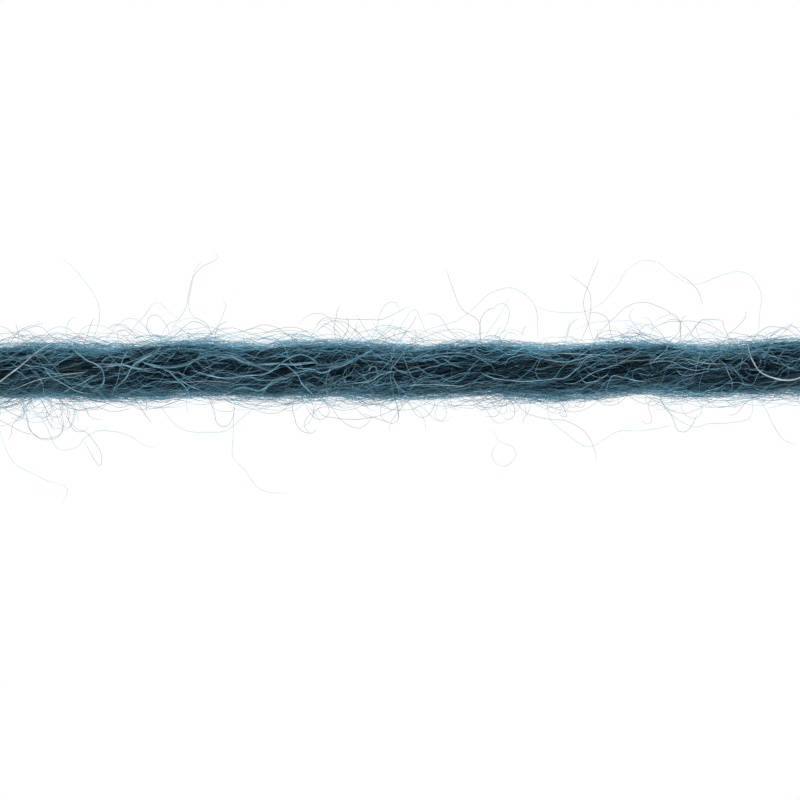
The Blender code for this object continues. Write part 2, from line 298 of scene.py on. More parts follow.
# Finer pale hairs, in the same way.
PALE_HAIRS = (
    ((8.0, 1.0), (9.5, 1.0), (11.0, 0.95), (12.5, 0.85), (13.5, 0.8), (14.2, 0.8), (14.9, 1.3)),
    ((15.0, 1.35), (17.0, 1.5), (20.0, 1.55), (22.5, 1.6), (24.0, 1.75), (25.5, 2.2)),
    ((13.6, 0.45), (15.5, 0.6), (17.2, 0.75), (18.6, 0.4), (20.2, 0.3)),
    ((-19.0, 0.1), (-18.2, 0.15), (-17.0, 0.35), (-15.6, 0.9), (-14.9, 1.4)),
    ((-24.0, -1.3), (-22.5, -0.7), (-21.0, -0.4), (-19.4, -0.2)),
    ((-14.6, -0.75), (-13.0, -0.8), (-11.6, -0.75), (-10.2, -0.9)),
    ((0.4, -1.0), (2.2, -0.95), (4.0, -1.05)),
)

# Where loose fibre has matted beside the strand: its middle and half-width along it, the side,
# how many fibres, how long each is, how far from the strand's line they turn back, all in
# millimetres, and how tightly they curl, per millimetre.
MATTED = (
    {"x": -22.6, "half": 1.9, "side": -1, "fibres": 70, "length": 5.0, "far": 2.3, "curl": 1.0},
    {"x": -21.9, "half": 1.1, "side": -1, "fibres": 14, "length": 7.0, "far": 2.9, "curl": 0.7},
    {"x": -18.6, "half": 2.0, "side": -1, "fibres": 26, "length": 6.0, "far": 2.0, "curl": 0.5},
    {"x": 8.0, "half": 2.2, "side": -1, "fibres": 52, "length": 3.2, "far": 2.2, "curl": 2.4},
    {"x": 17.1, "half": 0.8, "side": -1, "fibres": 12, "length": 4.2, "far": 2.6, "curl": 1.4},
    {"x": -4.0, "half": 3.4, "side": -1, "fibres": 50, "length": 5.0, "far": 2.2, "curl": 0.8},
    {"x": 3.0, "half": 3.0, "side": -1, "fibres": 38, "length": 4.5, "far": 2.1, "curl": 0.8},
    {"x": 21.5, "half": 3.0, "side": -1, "fibres": 16, "length": 4.5, "far": 1.9, "curl": 0.7},
    {"x": 0.0, "half": 29.0, "side": -1, "fibres": 240, "length": 2.4, "far": 1.85, "curl": 2.3},
    {"x": 0.0, "half": 29.0, "side": 1, "fibres": 150, "length": 2.4, "far": 1.85, "curl": 2.3},
    {"x": -20.0, "half": 2.0, "side": 1, "fibres": 20, "length": 4.5, "far": 2.2, "curl": 0.6},
    {"x": -14.5, "half": 2.2, "side": 1, "fibres": 42, "length": 5.0, "far": 2.3, "curl": 0.6},
    {"x": -7.5, "half": 3.0, "side": 1, "fibres": 14, "length": 5.0, "far": 2.0, "curl": 0.4},
    {"x": -2.0, "half": 2.2, "side": 1, "fibres": 44, "length": 4.5, "far": 2.4, "curl": 0.6},
    {"x": 4.0, "half": 2.5, "side": 1, "fibres": 18, "length": 4.5, "far": 2.1, "curl": 0.6},
    {"x": 15.8, "half": 1.6, "side": 1, "fibres": 44, "length": 4.0, "far": 2.3, "curl": 1.0},
    {"x": 19.5, "half": 3.0, "side": 1, "fibres": 22, "length": 5.0, "far": 2.3, "curl": 0.5},
)

# Where fine fibres have tangled on top of the strand: the middle and half-width along it and
# across it, how many, how long each is, all in millimetres, and how tightly they curl.
TANGLED = (
    {"x": -22.0, "y": 0.2, "half": 3.0, "side": 1.1, "fibres": 20, "length": 3.5, "curl": 1.2},
    {"x": -15.5, "y": 0.2, "half": 3.0, "side": 1.2, "fibres": 20, "length": 3.5, "curl": 1.2},
    {"x": -8.5, "y": -0.6, "half": 3.5, "side": 0.9, "fibres": 20, "length": 3.5, "curl": 1.4},
    {"x": -2.6, "y": 0.0, "half": 2.6, "side": 1.2, "fibres": 42, "length": 3.4, "curl": 1.9},
    {"x": 4.5, "y": 0.4, "half": 3.5, "side": 1.1, "fibres": 12, "length": 3.0, "curl": 1.2},
    {"x": 12.5, "y": 0.3, "half": 3.5, "side": 1.2, "fibres": 20, "length": 3.0, "curl": 1.4},
    {"x": 18.5, "y": 0.4, "half": 3.5, "side": 1.2, "fibres": 30, "length": 3.0, "curl": 1.7},
    {"x": 24.0, "y": 0.6, "half": 3.5, "side": 0.9, "fibres": 12, "length": 3.0, "curl": 1.2},
)

# What a laid fibre is unless its piece says otherwise. Lengths are in millimetres.
FIBRE_DEFAULTS = {
    "Points": 12,
    "Bundle": 1.0, "Spread": 0.0,  # how many run together, and how far apart
    "Shortest": 7.0, "Longest": 16.0,
    "From": 0.0, "To": 1.0,  # where its middle is along the strand, as a share
    "Ply Low": 0.0, "Ply High": 1.0,  # and round it, in turns from the first ply's crest
    "Lean": 0.4,  # how much slower it turns than its ply, as a share
    "Slip": 0.04,  # how much faster or slower still by chance, in turns
    "Locks": 36.0, "Gather": 0.4,  # how many locks lie round the strand, and how closely drawn
    "Lock Waver": 0.10, "Lock Length": 7.0, "Lock Lift": 0.08,  # how a whole lock wavers
    "Waver": 0.08, "Waver Length": 4.0,  # how it wavers on the surface
    "Stray": 0.0, "Stray Length": 2.0,  # how it strays every way
    "Lift Low": 0.0, "Lift High": 0.30, "Lift Rarity": 2.0,  # off the surface; rare is a power
    "Arch": 0.0, "Arch Rarity": 1.0,  # how much further its middle rises
    "Tip Reach": 0.0,  # how much further its end does
    "Rubbed": 0.0,  # the share that is rubbed off, where that is most
    "Tip Share": 0.4,  # what is left of its thickness at its tips
    # Shade By Lift is painted shade: it darkens fibres drawn low and lightens those drawn high.
    "Shade By Lift": 0.5,  # how far the draw for its lift makes its shade
}
IN_MM = {
    "Shortest", "Longest", "Lift Low", "Lift High", "Arch", "Tip Reach", "Waver", "Waver Length",
    "Stray", "Stray Length", "Spread", "Lock Waver", "Lock Length", "Lock Lift",
}


def linear(colour):
    """An sRGB hex colour as linear red, green, blue and alpha."""
    parts = [int(colour[i : i + 2], 16) / 255.0 for i in (1, 3, 5)]
    return (*[p / 12.92 if p <= 0.04045 else ((p + 0.055) / 1.055) ** 2.4 for p in parts], 1.0)


def length_setting(name, millimetres, description, least=0.005):
    """A length that a user would change."""
    return FloatProperty(
        name=name, description=description, default=millimetres * MM, min=least * MM,
        subtype="DISTANCE", unit="LENGTH",
    )


def share_setting(name, share, description, most=0.5):
    """A share that a user would change."""
    return FloatProperty(
        name=name, description=description, default=share, min=0.0, max=most, subtype="FACTOR",
    )


def colour_setting(name, colour, description):
    """A colour that a user would change."""
    return FloatVectorProperty(
        name=name, description=description, default=linear(colour), size=4, min=0.0, max=1.0,
        subtype="COLOR",
    )


class StrandSettings(bpy.types.PropertyGroup):
    """Sizes of the plied strand."""

    radius: length_setting("Radius", 1.72, "Mean radius, out to the short fuzz", 0.2)
    core_radius: length_setting(
        "Core Radius", 1.07, "Mean radius of the packed wool under the surface fibres", 0.1
    )
    pitch: length_setting("Twist Pitch", 28.1, "Length in which a ply goes once round", 1.0)
    crest_x: length_setting("Crest", -1.4, "Place along it where a ply's crest is on top", -1000.0)
    pressed: length_setting("Pressed Depth", 0.12, "How far lower crests are pressed flat", 0.0)
    plies: IntProperty(name="Plies", description="Number of plies", default=3, min=2, max=8)
    relief: share_setting("Ply Relief", 0.085, "How far crests and grooves stray from the round")
    core_relief: share_setting("Core Relief", 0.12, "The same, on the packed wool inside")
    groove_share: share_setting("Groove Share", 0.2, "How much narrower grooves are than crests", 1.0)


class WoolSettings(bpy.types.PropertyGroup):
    """Thicknesses and colours of the wool."""

    fibre: length_setting("Fibre", 0.034, "A fibre in the plies, drawn coarser than real")
    loose_fibre: length_setting("Loose Fibre", 0.024, "A fibre that stands off the strand")
    fine_fibre: length_setting("Fine Fibre", 0.023, "A fibre of the short fuzz")
    crossing_fibre: length_setting(
        "Crossing Fibre", 0.052, "A fibre that crosses the plies, drawn coarser than real"
    )
    tangled_fibre: length_setting("Tangled Fibre", 0.026, "A fibre tangled on top of the strand")
    pale_hair: length_setting("Pale Hair", 0.045, "A finer pale hair")
    coarse_fibre: length_setting("Coarse Hair", 0.09, "A coarse pale hair")
    # Deep and Dark are the dye, and also painted shade: the lift draw gives them to low fibres, and
    # the packed core takes Deep.
    deep: colour_setting("Deep", "#254654", "The darkest dyed fibres")
    dark: colour_setting("Dark", "#284c5e", "Dyed fibres that lie deep")
    middle: colour_setting("Middle", "#2e5a70", "Most dyed fibres")
    # Faded, Loose and Light are the dye made lighter as painted light, for fibres on top, thin fibres
    # and fibres clear of the strand.
    faded: colour_setting("Faded", "#6997a8", "Dyed fibres that have worn loose")
    loose: colour_setting("Loose", "#80c2da", "Fibres that stand off the strand")
    light: colour_setting("Light", "#88b6ca", "The lightest dyed fibres")
    olive: colour_setting("Olive", "#76877c", "Fibres that took the dye badly")
    pale: colour_setting("Pale", "#bdd1d3", "Coarse hairs that hardly took the dye")


# ------------------------------------------------------------------------------- node trees


def add(tree, kind, settings=None, inputs=(), stops=()):
    """Add a node with its settings, and link or set its inputs, by name or in order. Stops are
    the positions and colours of a ramp."""
    node = tree.nodes.new(kind)
    for name, value in (settings or {}).items():
        setattr(node, name, value)
    for element in range(2, len(stops)):
        node.color_ramp.elements.new(0.5)
    for element, (position, colour) in zip(node.color_ramp.elements if stops else (), stops):
        element.position = position
        element.color = colour
    shown = [socket for socket in node.inputs if socket.enabled]
    if isinstance(inputs, dict):
        named = {socket.name: socket for socket in reversed(shown)}
        pairs = [(named[name], value) for name, value in inputs.items()]
    else:
        pairs = zip(shown, inputs)
    for socket, value in pairs:
        if isinstance(value, bpy.types.Node):
            value = next(s for s in value.outputs if s.enabled)
        if isinstance(value, bpy.types.NodeSocket):
            tree.links.new(value, socket)
        else:
            socket.default_value = value
    return node


def work_out(tree, known, rows):
    """Work out values, one a row: its name, the kind of sum, and what goes in, as numbers or as
    the names of values that are known by then."""
    for name, kind, *inputs in rows:
        group, operation, *clamped = kind.split()
        settings = {"operation": operation}
        if clamped:
            settings["use_clamp"] = True
        values = [known[value] if isinstance(value, str) else value for value in inputs]
        known[name] = add(tree, "ShaderNode" + group, settings, values)


def new_tree(name, labels):
    """A geometry tree whose inputs have these labels, listed by kind, and its known values."""
    tree = bpy.data.node_groups.new(name, "GeometryNodeTree")
    for way in ("INPUT", "OUTPUT"):
        tree.interface.new_socket("Geometry", in_out=way, socket_type="NodeSocketGeometry")
    for kind, names in labels.items():
        for label in names:
            socket_type = "NodeSocketFloat" if kind == "Size" else "NodeSocket" + kind
            socket = tree.interface.new_socket(label, in_out="INPUT", socket_type=socket_type)
            if kind == "Size":
                socket.subtype = "DISTANCE"
    return tree, {socket.name: socket for socket in add(tree, "NodeGroupInput").outputs}


def finished(tree, shape, material):
    """The tree, ended with this shape, made smooth and real and given its material."""
    smooth = add(tree, "GeometryNodeSetShadeSmooth", {}, [shape])
    plain = add(tree, "GeometryNodeRealizeInstances", {}, [smooth])
    dressed = add(tree, "GeometryNodeSetMaterial", {}, {"Geometry": plain, "Material": material})
    add(tree, "NodeGroupOutput", {}, [dressed])
    return tree


def uneven(tree, column, along):
    """How a column of UNEVENNESS runs, smoothly, with the share of the way along the strand."""
    node = add(tree, "ShaderNodeFloatCurve", {"label": column}, {"Value": along})
    mapping = node.mapping
    mapping.use_clip = False
    curve = mapping.curves[0]
    span = UNEVENNESS[-1]["x"] - UNEVENNESS[0]["x"]
    while len(curve.points) < len(UNEVENNESS):
        curve.points.new(0.5, 0.5)
    for point, row in zip(curve.points, UNEVENNESS):
        point.location = ((row["x"] - UNEVENNESS[0]["x"]) / span, row[column])
        point.handle_type = "AUTO"
    mapping.update()
    return node


def strand_tree():
    """The core of the strand: a tube of lobed sections that turn with the plies."""
    tree, known = new_tree("plied_core", {
        "Size": ("Length", "Radius", "Outer Radius", "Pitch", "Crest", "Pressed Depth", "End Length"),
        "Float": ("Plies", "Relief", "Outer Relief", "Groove Share"),
        "Int": ("Sections", "Points Around"),
        "Material": ("Material",),
    })
    sheet = add(tree, "GeometryNodeMeshGrid", {}, {
        "Size X": known["Length"], "Size Y": 1.0,
        "Vertices X": known["Sections"], "Vertices Y": known["Points Around"],
    })
    mapped = add(tree, "GeometryNodeStoreNamedAttribute",
                 {"data_type": "FLOAT2", "domain": "CORNER"},
                 {"Geometry": sheet, "Name": "strand_uv", "Value": sheet.outputs["UV Map"]})
    place = add(tree, "ShaderNodeSeparateXYZ", {}, [add(tree, "GeometryNodeInputPosition")]).outputs
    known |= {"x": place["X"], "turn": place["Y"]}
    work_out(tree, known, (
        ("share", "Math DIVIDE", "x", "Length"),
        ("share", "Math ADD", "share", 0.5),
    ))
    known["girth"] = uneven(tree, "girth", known["share"])
    known["sway"] = uneven(tree, "sway", known["share"])
    work_out(tree, known, (
        ("sway", "Math MULTIPLY", "sway", MM),
        # The angle from a ply's crest, and from the top of the strand.
        ("ply angle", "Math MULTIPLY_ADD", "turn", math.tau, math.pi),
        ("from crest", "Math SUBTRACT", "x", "Crest"),
        ("twist", "Math DIVIDE", "from crest", "Pitch"),
        ("angle", "Math MULTIPLY_ADD", "twist", math.tau, "ply angle"),
        # Lobes with broad crests and narrower grooves, in shares of the radius.
        ("lobe angle", "Math MULTIPLY", "ply angle", "Plies"),
        ("lobe", "Math COSINE", "lobe angle"),
        ("double", "Math MULTIPLY", "lobe angle", 2.0),
        ("double", "Math COSINE", "double"),
        ("sharper", "Math MULTIPLY", "double", "Groove Share"),
        ("lobe", "Math SUBTRACT", "lobe", "sharper"),
        ("lobe", "Math MULTIPLY_ADD", "lobe", "Relief", 1.0),
        # The cut ends close over in a short dome.
        ("half", "Math MULTIPLY", "Length", 0.5),
        ("from middle", "Math ABSOLUTE", "x"),
        ("from end", "Math SUBTRACT", "half", "from middle"),
        ("inwards", "Math DIVIDE clamped", "from end", "End Length"),
        ("outwards", "Math SUBTRACT", 1.0, "inwards"),
        ("squared", "Math MULTIPLY", "outwards", "outwards"),
        ("dome", "Math SUBTRACT clamped", 1.0, "squared"),
        ("dome", "Math SQRT", "dome"),
        ("reach", "Math MULTIPLY", "Radius", "girth"),
        ("reach", "Math MULTIPLY", "reach", "lobe"),
        ("reach", "Math MULTIPLY", "reach", "dome"),
        # The strand lies on its outer crests, so its line is one outer crest above the table.
        ("crest", "Math SUBTRACT", 1.0, "Groove Share"),
        ("crest", "Math MULTIPLY_ADD", "crest", "Outer Relief", 1.0),
        ("crest", "Math MULTIPLY", "crest", "Outer Radius"),
        ("crest", "Math MULTIPLY", "crest", "girth"),
        ("height", "Math SUBTRACT", "crest", "Pressed Depth"),
        ("sine", "Math SINE", "angle"),
        ("cosine", "Math COSINE", "angle"),
        ("across", "Math MULTIPLY_ADD", "sine", "reach", "sway"),
        ("upward", "Math MULTIPLY_ADD", "cosine", "reach", "height"),
    ))
    position = add(tree, "ShaderNodeCombineXYZ", {}, [known["x"], known["across"], known["upward"]])
    outward = add(tree, "ShaderNodeCombineXYZ", {}, [0.0, known["sine"], known["cosine"]])
    mapped = add(tree, "GeometryNodeStoreNamedAttribute",
                 {"data_type": "FLOAT_VECTOR", "domain": "CORNER"},
                 {"Geometry": mapped, "Name": "outward", "Value": outward})
    rolled = add(tree, "GeometryNodeSetPosition", {}, {"Geometry": mapped, "Position": position})
    closed = add(tree, "GeometryNodeMergeByDistance", {}, {"Geometry": rolled, "Distance": 0.001 * MM})

    # Centred across the table, as the solid is.
    box = add(tree, "GeometryNodeBoundBox", {}, [closed]).outputs
    known |= {"low": box["Min"], "high": box["Max"]}
    work_out(tree, known, (
        ("corners", "VectorMath ADD", "low", "high"),
        ("shift", "VectorMath MULTIPLY", "corners", (0.0, -0.5, 0.0)),
    ))
    centred = add(tree, "GeometryNodeSetPosition", {}, {"Geometry": closed, "Offset": known["shift"]})
    return finished(tree, centred, known["Material"])


def fibre_tree():
    """Turns curves into closed three-sided fibres, each with its own shade and its own strip of
    the map, so that every fibre of a shade shares one column."""
    tree, known = new_tree("wool_fibre", {
        "Size": ("Thickness",),
        "Float": ("Tip Share", "Raised", "Shade By Lift"),
        "Int": ("Seed",),
        "Material": ("Material",),
    })
    known["along"] = add(tree, "GeometryNodeSplineParameter").outputs["Factor"]
    which = add(tree, "GeometryNodeCurveOfPoint").outputs["Curve Index"]
    work_out(tree, known, [("own seed", "Math ADD", "Seed", SHADE_SEED)])
    known["shade"] = add(tree, "FunctionNodeRandomValue", {"data_type": "FLOAT"},
                         {"Min": 0.0, "Max": 1.0, "ID": which, "Seed": known["own seed"]})
    work_out(tree, known, (
        # Painted shade: the draw for lift pulls the shade darker for fibres drawn low, lighter for
        # high.
        ("lifted", "Math SUBTRACT", "Raised", "shade"),
        ("shade", "Math MULTIPLY_ADD clamped", "lifted", "Shade By Lift", "shade"),
        ("shade", "Math MULTIPLY", "shade", SHADES - 0.001),
        ("shade", "Math FLOOR", "shade"),
        ("shade", "Math DIVIDE", "shade", SHADES - 1.0),
        # Fine at both ends, and even between.
        ("centred", "Math MULTIPLY_ADD", "along", 2.0, -1.0),
        ("centred", "Math ABSOLUTE", "centred"),
        ("fall", "Math POWER", "centred", 6.0),
        ("drop", "Math SUBTRACT", "Tip Share", 1.0),
        ("taper", "Math MULTIPLY_ADD", "fall", "drop", 1.0),
        ("radius", "Math MULTIPLY", "Thickness", 0.5),
        ("radius", "Math MULTIPLY", "radius", "taper"),
    ))
    known["outline"] = add(tree, "GeometryNodeCurvePrimitiveCircle", {},
                           {"Resolution": 3, "Radius": 1.0})
    known["round"] = add(tree, "GeometryNodeSplineParameter").outputs["Factor"]
    for shape, name in (("Geometry", "shade"), ("Geometry", "along"), ("outline", "round")):
        known[shape] = add(tree, "GeometryNodeStoreNamedAttribute",
                           {"data_type": "FLOAT", "domain": "POINT"},
                           {"Geometry": known[shape], "Name": name, "Value": known[name]})
    tube = add(tree, "GeometryNodeCurveToMesh", {}, {
        "Curve": known["Geometry"], "Profile Curve": known["outline"], "Scale": known["radius"],
        "Fill Caps": True,
    })

    # The map: shade picks the column, the way round goes across it, and the length goes up it,
    # with a little room left at every side.
    for name in ("shade", "along", "round"):
        known[name] = add(tree, "GeometryNodeInputNamedAttribute", {"data_type": "FLOAT"}, [name])
    work_out(tree, known, (
        ("column", "Math MULTIPLY_ADD", "shade", SHADES - 1.0, 0.15),
        ("column", "Math MULTIPLY_ADD", "round", 1.05, "column"),
        ("column", "Math DIVIDE", "column", float(SHADES)),
        ("upward", "Math MULTIPLY_ADD", "along", 0.96, 0.02),
    ))
    spot = add(tree, "ShaderNodeCombineXYZ", {}, [known["column"], known["upward"], 0.0])
    mapped = add(tree, "GeometryNodeStoreNamedAttribute",
                 {"data_type": "FLOAT2", "domain": "CORNER"},
                 {"Geometry": tube, "Name": "OFBake", "Value": spot})
    bare = add(tree, "GeometryNodeRemoveAttribute", {}, {"Geometry": mapped, "Name": "round"})
    return finished(tree, bare, known["Material"])


def strayed(tree, known, detail):
    """The known position, moved every way by a noise of the known size, which changes along the
    run of a fibre and from side to side between fibres. Nothing goes through the table."""
    spot = add(tree, "ShaderNodeCombineXYZ", {}, [known["run"], 0.0, known["side"]])
    known["noise"] = add(tree, "ShaderNodeTexNoise", {"noise_dimensions": "3D"},
                         {"Vector": spot, "Scale": 1.0, "Detail": detail}).outputs["Color"]
    work_out(tree, known, (
        ("size", "Math MULTIPLY", "size", NOISE_REACH),
        ("noise", "VectorMath SUBTRACT", "noise", (0.5, 0.5, 0.5)),
        ("noise", "VectorMath SCALE", "noise", "size"),
        ("position", "VectorMath ADD", "position", "noise"),
    ))
    parts = add(tree, "ShaderNodeSeparateXYZ", {}, [known["position"]]).outputs
    above = add(tree, "ShaderNodeMath", {"operation": "MAXIMUM"}, [parts["Z"], known["Table Gap"]])
    return add(tree, "ShaderNodeCombineXYZ", {}, [parts["X"], parts["Y"], above])


def drawn(tree, known, which):
    """The random draws that a laid fibre starts from. The fibres of one bundle share theirs."""
    work_out(tree, known, (
        ("bundle", "Math DIVIDE", which, "Bundle"),
        ("bundle", "Math FLOOR", "bundle"),
    ))
    for number, (name, low, high) in enumerate((
        ("start", "From", "To"), ("ply", "Ply Low", "Ply High"), ("length", "Shortest", "Longest"),
        ("slip draw", -1.0, 1.0), ("height", 0.0, 1.0), ("arch draw", 0.0, 1.0),
        ("tip draw", 0.0, 1.0), ("side", 0.0, NOISE_WIDTH), ("kept", 0.0, 1.0),
    )):
        work_out(tree, known, [("seed", "Math ADD", "Seed", NEXT_SEED * number)])
        known[name] = add(tree, "FunctionNodeRandomValue", {"data_type": "FLOAT"}, {
            "Min": known.get(low, low), "Max": known.get(high, high),
            "ID": known["bundle"], "Seed": known["seed"],
        })
    known["own side"] = add(tree, "FunctionNodeRandomValue", {"data_type": "FLOAT"},
                            {"Min": 0.0, "Max": NOISE_WIDTH, "ID": which, "Seed": known["Seed"]})


def placed_on_map(tree, known):
    """Where a laid fibre runs along and round the strand, as a place on the core's map."""
    work_out(tree, known, (
        # Along the strand.
        ("centred", "Math SUBTRACT", "t", 0.5),
        ("along", "Math MULTIPLY", "centred", "length"),
        ("room", "Math MULTIPLY_ADD", "length", -END_ROOM, "Strand Length"),
        ("start", "Math SUBTRACT", "start", 0.5),
        ("x", "Math MULTIPLY_ADD", "start", "room", "along"),
        # A known fault: the core closes to a point at its end, which leaves half of the last
        # ring of its map empty. A fibre's point that falls there, past x = 29.6 mm, finds no
        # surface and goes to the origin, so the fibre runs straight to it under the core.
        ("u", "Math DIVIDE", "x", "Strand Length"),
        ("u", "Math ADD clamped", "u", 0.5),
        # Round the strand, in turns from the first ply's crest.
        ("turns", "Math DIVIDE", "along", "Pitch"),
        ("turns", "Math MULTIPLY", "turns", "Lean"),
        ("v", "Math SUBTRACT", "ply", "turns"),
        # Fibres gather into locks that waver together and open again at their ends.
        ("hump", "Math MULTIPLY", "centred", "centred"),
        ("hump", "Math MULTIPLY_ADD", "hump", -4.0, 1.0),
        ("lock", "Math MULTIPLY", "ply", "Locks"),
        ("lock", "Math FLOOR", "lock"),
        ("lock middle", "Math ADD", "lock", 0.5),
        ("lock middle", "Math DIVIDE", "lock middle", "Locks"),
        ("pull", "Math SUBTRACT", "lock middle", "ply"),
        ("gather", "Math MULTIPLY", "Gather", "hump"),
        ("v", "Math MULTIPLY_ADD", "pull", "gather", "v"),
        ("lock run", "Math DIVIDE", "x", "Lock Length"),
        ("lock side", "Math MULTIPLY_ADD", "lock", LOCK_GAP, "Seed"),
        ("girth", "Math MULTIPLY", "Strand Radius", math.tau),
        ("run", "Math DIVIDE", "along", "Waver Length"),
    ))
    for name, output, run, side, settings, scale, detail in (
        ("lock noise", "Color", "lock run", "lock side", {"normalize": False}, 1.0, 1.0),
        ("noise", "Fac", "run", "side", {}, 1.0, 1.5),
        ("apart", "Color", "run", "own side", {}, 1.3, 1.0),
    ):
        spot = add(tree, "ShaderNodeCombineXYZ", {}, [known[run], known[side], 0.0])
        noise = add(tree, "ShaderNodeTexNoise", {"noise_dimensions": "2D", **settings},
                    {"Vector": spot, "Scale": scale, "Detail": detail})
        known[name] = noise.outputs[output]
    lock = add(tree, "ShaderNodeSeparateXYZ", {}, [known["lock noise"]]).outputs
    known |= {"lock across": lock["X"], "lock upward": lock["Y"]}
    work_out(tree, known, (
        ("waver", "Math DIVIDE", "Lock Waver", "girth"),
        ("v", "Math MULTIPLY_ADD", "lock across", "waver", "v"),
        ("slip", "Math MULTIPLY", "slip draw", "Slip"),
        ("v", "Math MULTIPLY_ADD", "slip", "centred", "v"),
        ("noise", "Math MULTIPLY_ADD", "noise", 2.0, -1.0),
        ("waver", "Math DIVIDE", "Waver", "girth"),
        ("v", "Math MULTIPLY_ADD", "noise", "waver", "v"),
        # Within a bundle the fibres twine about each other, and part at its ends.
        ("apart", "VectorMath SUBTRACT", "apart", (0.5, 0.5, 0.5)),
        ("parting", "Math SUBTRACT", 1.4, "hump"),
        ("parting", "Math MULTIPLY", "parting", "Spread"),
        ("apart", "VectorMath SCALE", "apart", "parting"),
    ))
    apart = add(tree, "ShaderNodeSeparateXYZ", {}, [known["apart"]]).outputs
    known |= {"apart across": apart["X"], "apart upward": apart["Y"]}
    work_out(tree, known, (
        ("beside", "Math DIVIDE", "apart across", "girth"),
        ("v", "Math ADD", "v", "beside"),
        ("v", "Math FRACT", "v"),
    ))
    return add(tree, "ShaderNodeCombineXYZ", {}, [known["u"], known["v"], 0.0])


def lay_tree(finish):
    """Lays fibres over a strand: each follows its ply, leans out of it, wavers, and may arch off
    the surface or end in a free tip."""
    tree, known = new_tree("fibres_on_strand", {
        "Int": ("Fibres", "Points", "Seed"),
        "Size": (
            "Strand Length", "Strand Radius", "Pitch", "Crest", "Shortest", "Longest", "Spread",
            "Lift Low", "Lift High", "Arch", "Tip Reach", "Waver", "Waver Length", "Stray",
            "Stray Length", "Lock Waver", "Lock Length", "Lock Lift", "Table Gap", "Thickness",
        ),
        "Float": (
            "Bundle", "Lean", "Slip", "Lift Rarity", "Arch Rarity", "Rubbed", "Tip Share", "From",
            "To", "Ply Low", "Ply High", "Locks", "Gather", "Shade By Lift",
        ),
        "Material": ("Material",),
    })
    line = add(tree, "GeometryNodeCurvePrimitiveLine", {}, {"Start": (0, 0, 0), "End": (1, 0, 0)})
    line = add(tree, "GeometryNodeResampleCurve", {}, {"Curve": line, "Count": known["Points"]})
    many = add(tree, "GeometryNodeDuplicateElements", {"domain": "SPLINE"},
               {"Geometry": line, "Amount": known["Fibres"]})
    place = add(tree, "ShaderNodeSeparateXYZ", {}, [add(tree, "GeometryNodeInputPosition")])
    known["t"] = place.outputs["X"]
    drawn(tree, known, add(tree, "GeometryNodeCurveOfPoint").outputs["Curve Index"])
    on_map = placed_on_map(tree, known)

    # The strand's surface there, and how far the fibre stands off it.
    vector = {"data_type": "FLOAT_VECTOR"}
    map_of = add(tree, "GeometryNodeInputNamedAttribute", vector, ["strand_uv"])
    outward = add(tree, "GeometryNodeInputNamedAttribute", vector, ["outward"])
    for name, source in (("at", add(tree, "GeometryNodeInputPosition")), ("out", outward)):
        known[name] = add(tree, "GeometryNodeSampleUVSurface", vector, {
            "Mesh": known["Geometry"], "Value": source, "UV Map": map_of, "Sample UV": on_map,
        })
    work_out(tree, known, (
        ("raised", "Math POWER", "height", "Lift Rarity"),
        ("lift range", "Math SUBTRACT", "Lift High", "Lift Low"),
        ("base", "Math MULTIPLY_ADD", "raised", "lift range", "Lift Low"),
        ("arch", "Math POWER", "arch draw", "Arch Rarity"),
        ("arch", "Math MULTIPLY", "arch", "Arch"),
        ("arch", "Math MULTIPLY_ADD", "arch", "hump", "base"),
        ("tip", "Math POWER", "tip draw", "Arch Rarity"),
        ("tip", "Math MULTIPLY", "tip", "Tip Reach"),
        ("late", "Math POWER", "t", 1.6),
        ("lift", "Math MULTIPLY_ADD", "tip", "late", "arch"),
        ("lift", "Math MULTIPLY_ADD", "lock upward", "Lock Lift", "lift"),
        ("lift", "Math ADD", "lift", "apart upward"),
        ("off", "VectorMath SCALE", "out", "lift"),
        ("position", "VectorMath ADD", "at", "off"),
        # Loose fibres also stray every way, most where they are furthest from their hold.
        ("run", "Math DIVIDE", "along", "Stray Length"),
        ("size", "Math MAXIMUM", "hump", "t"),
        ("size", "Math MULTIPLY", "size", "Stray"),
    ))
    position = strayed(tree, known, 2.0)
    laid = add(tree, "GeometryNodeSetPosition", {}, {"Geometry": many, "Position": position})

    work_out(tree, known, (
        # Handling rubs the top, and the table the underside, so fewer loose fibres stand there.
        ("middle", "Math MULTIPLY", "start", "room"),
        ("middle", "Math SUBTRACT", "middle", "Crest"),
        ("middle", "Math DIVIDE", "middle", "Pitch"),
        ("middle", "Math ADD", "middle", "ply"),
        ("middle", "Math MULTIPLY", "middle", math.tau),
        ("upright", "Math COSINE", "middle"),
        ("upright", "Math ABSOLUTE", "upright"),
        ("rubbed", "Math POWER", "upright", RUB_FALL),
        ("rubbed", "Math MULTIPLY", "rubbed", "Rubbed"),
        # A fibre that would start past a cut end is left out, from a slightly ragged line. Its
        # points have moved by now, so t is next to nothing, and x is where the fibre starts.
        ("ends", "Math MULTIPLY_ADD", "Strand Length", 0.5, -TRIM_DEPTH),
        ("ends", "Math MULTIPLY_ADD", "kept", TRIM_RAGGED, "ends"),
        ("far", "Math ABSOLUTE", "x"),
    ))
    gone = add(tree, "FunctionNodeCompare", {"data_type": "FLOAT", "operation": "LESS_THAN"},
               {"A": known["kept"], "B": known["rubbed"]})
    past = add(tree, "FunctionNodeCompare", {"data_type": "FLOAT", "operation": "GREATER_THAN"},
               {"A": known["far"], "B": known["ends"]})
    gone = add(tree, "FunctionNodeBooleanMath", {"operation": "OR"}, [gone, past])
    laid = add(tree, "GeometryNodeDeleteGeometry", {"domain": "POINT"},
               {"Geometry": laid, "Selection": gone})

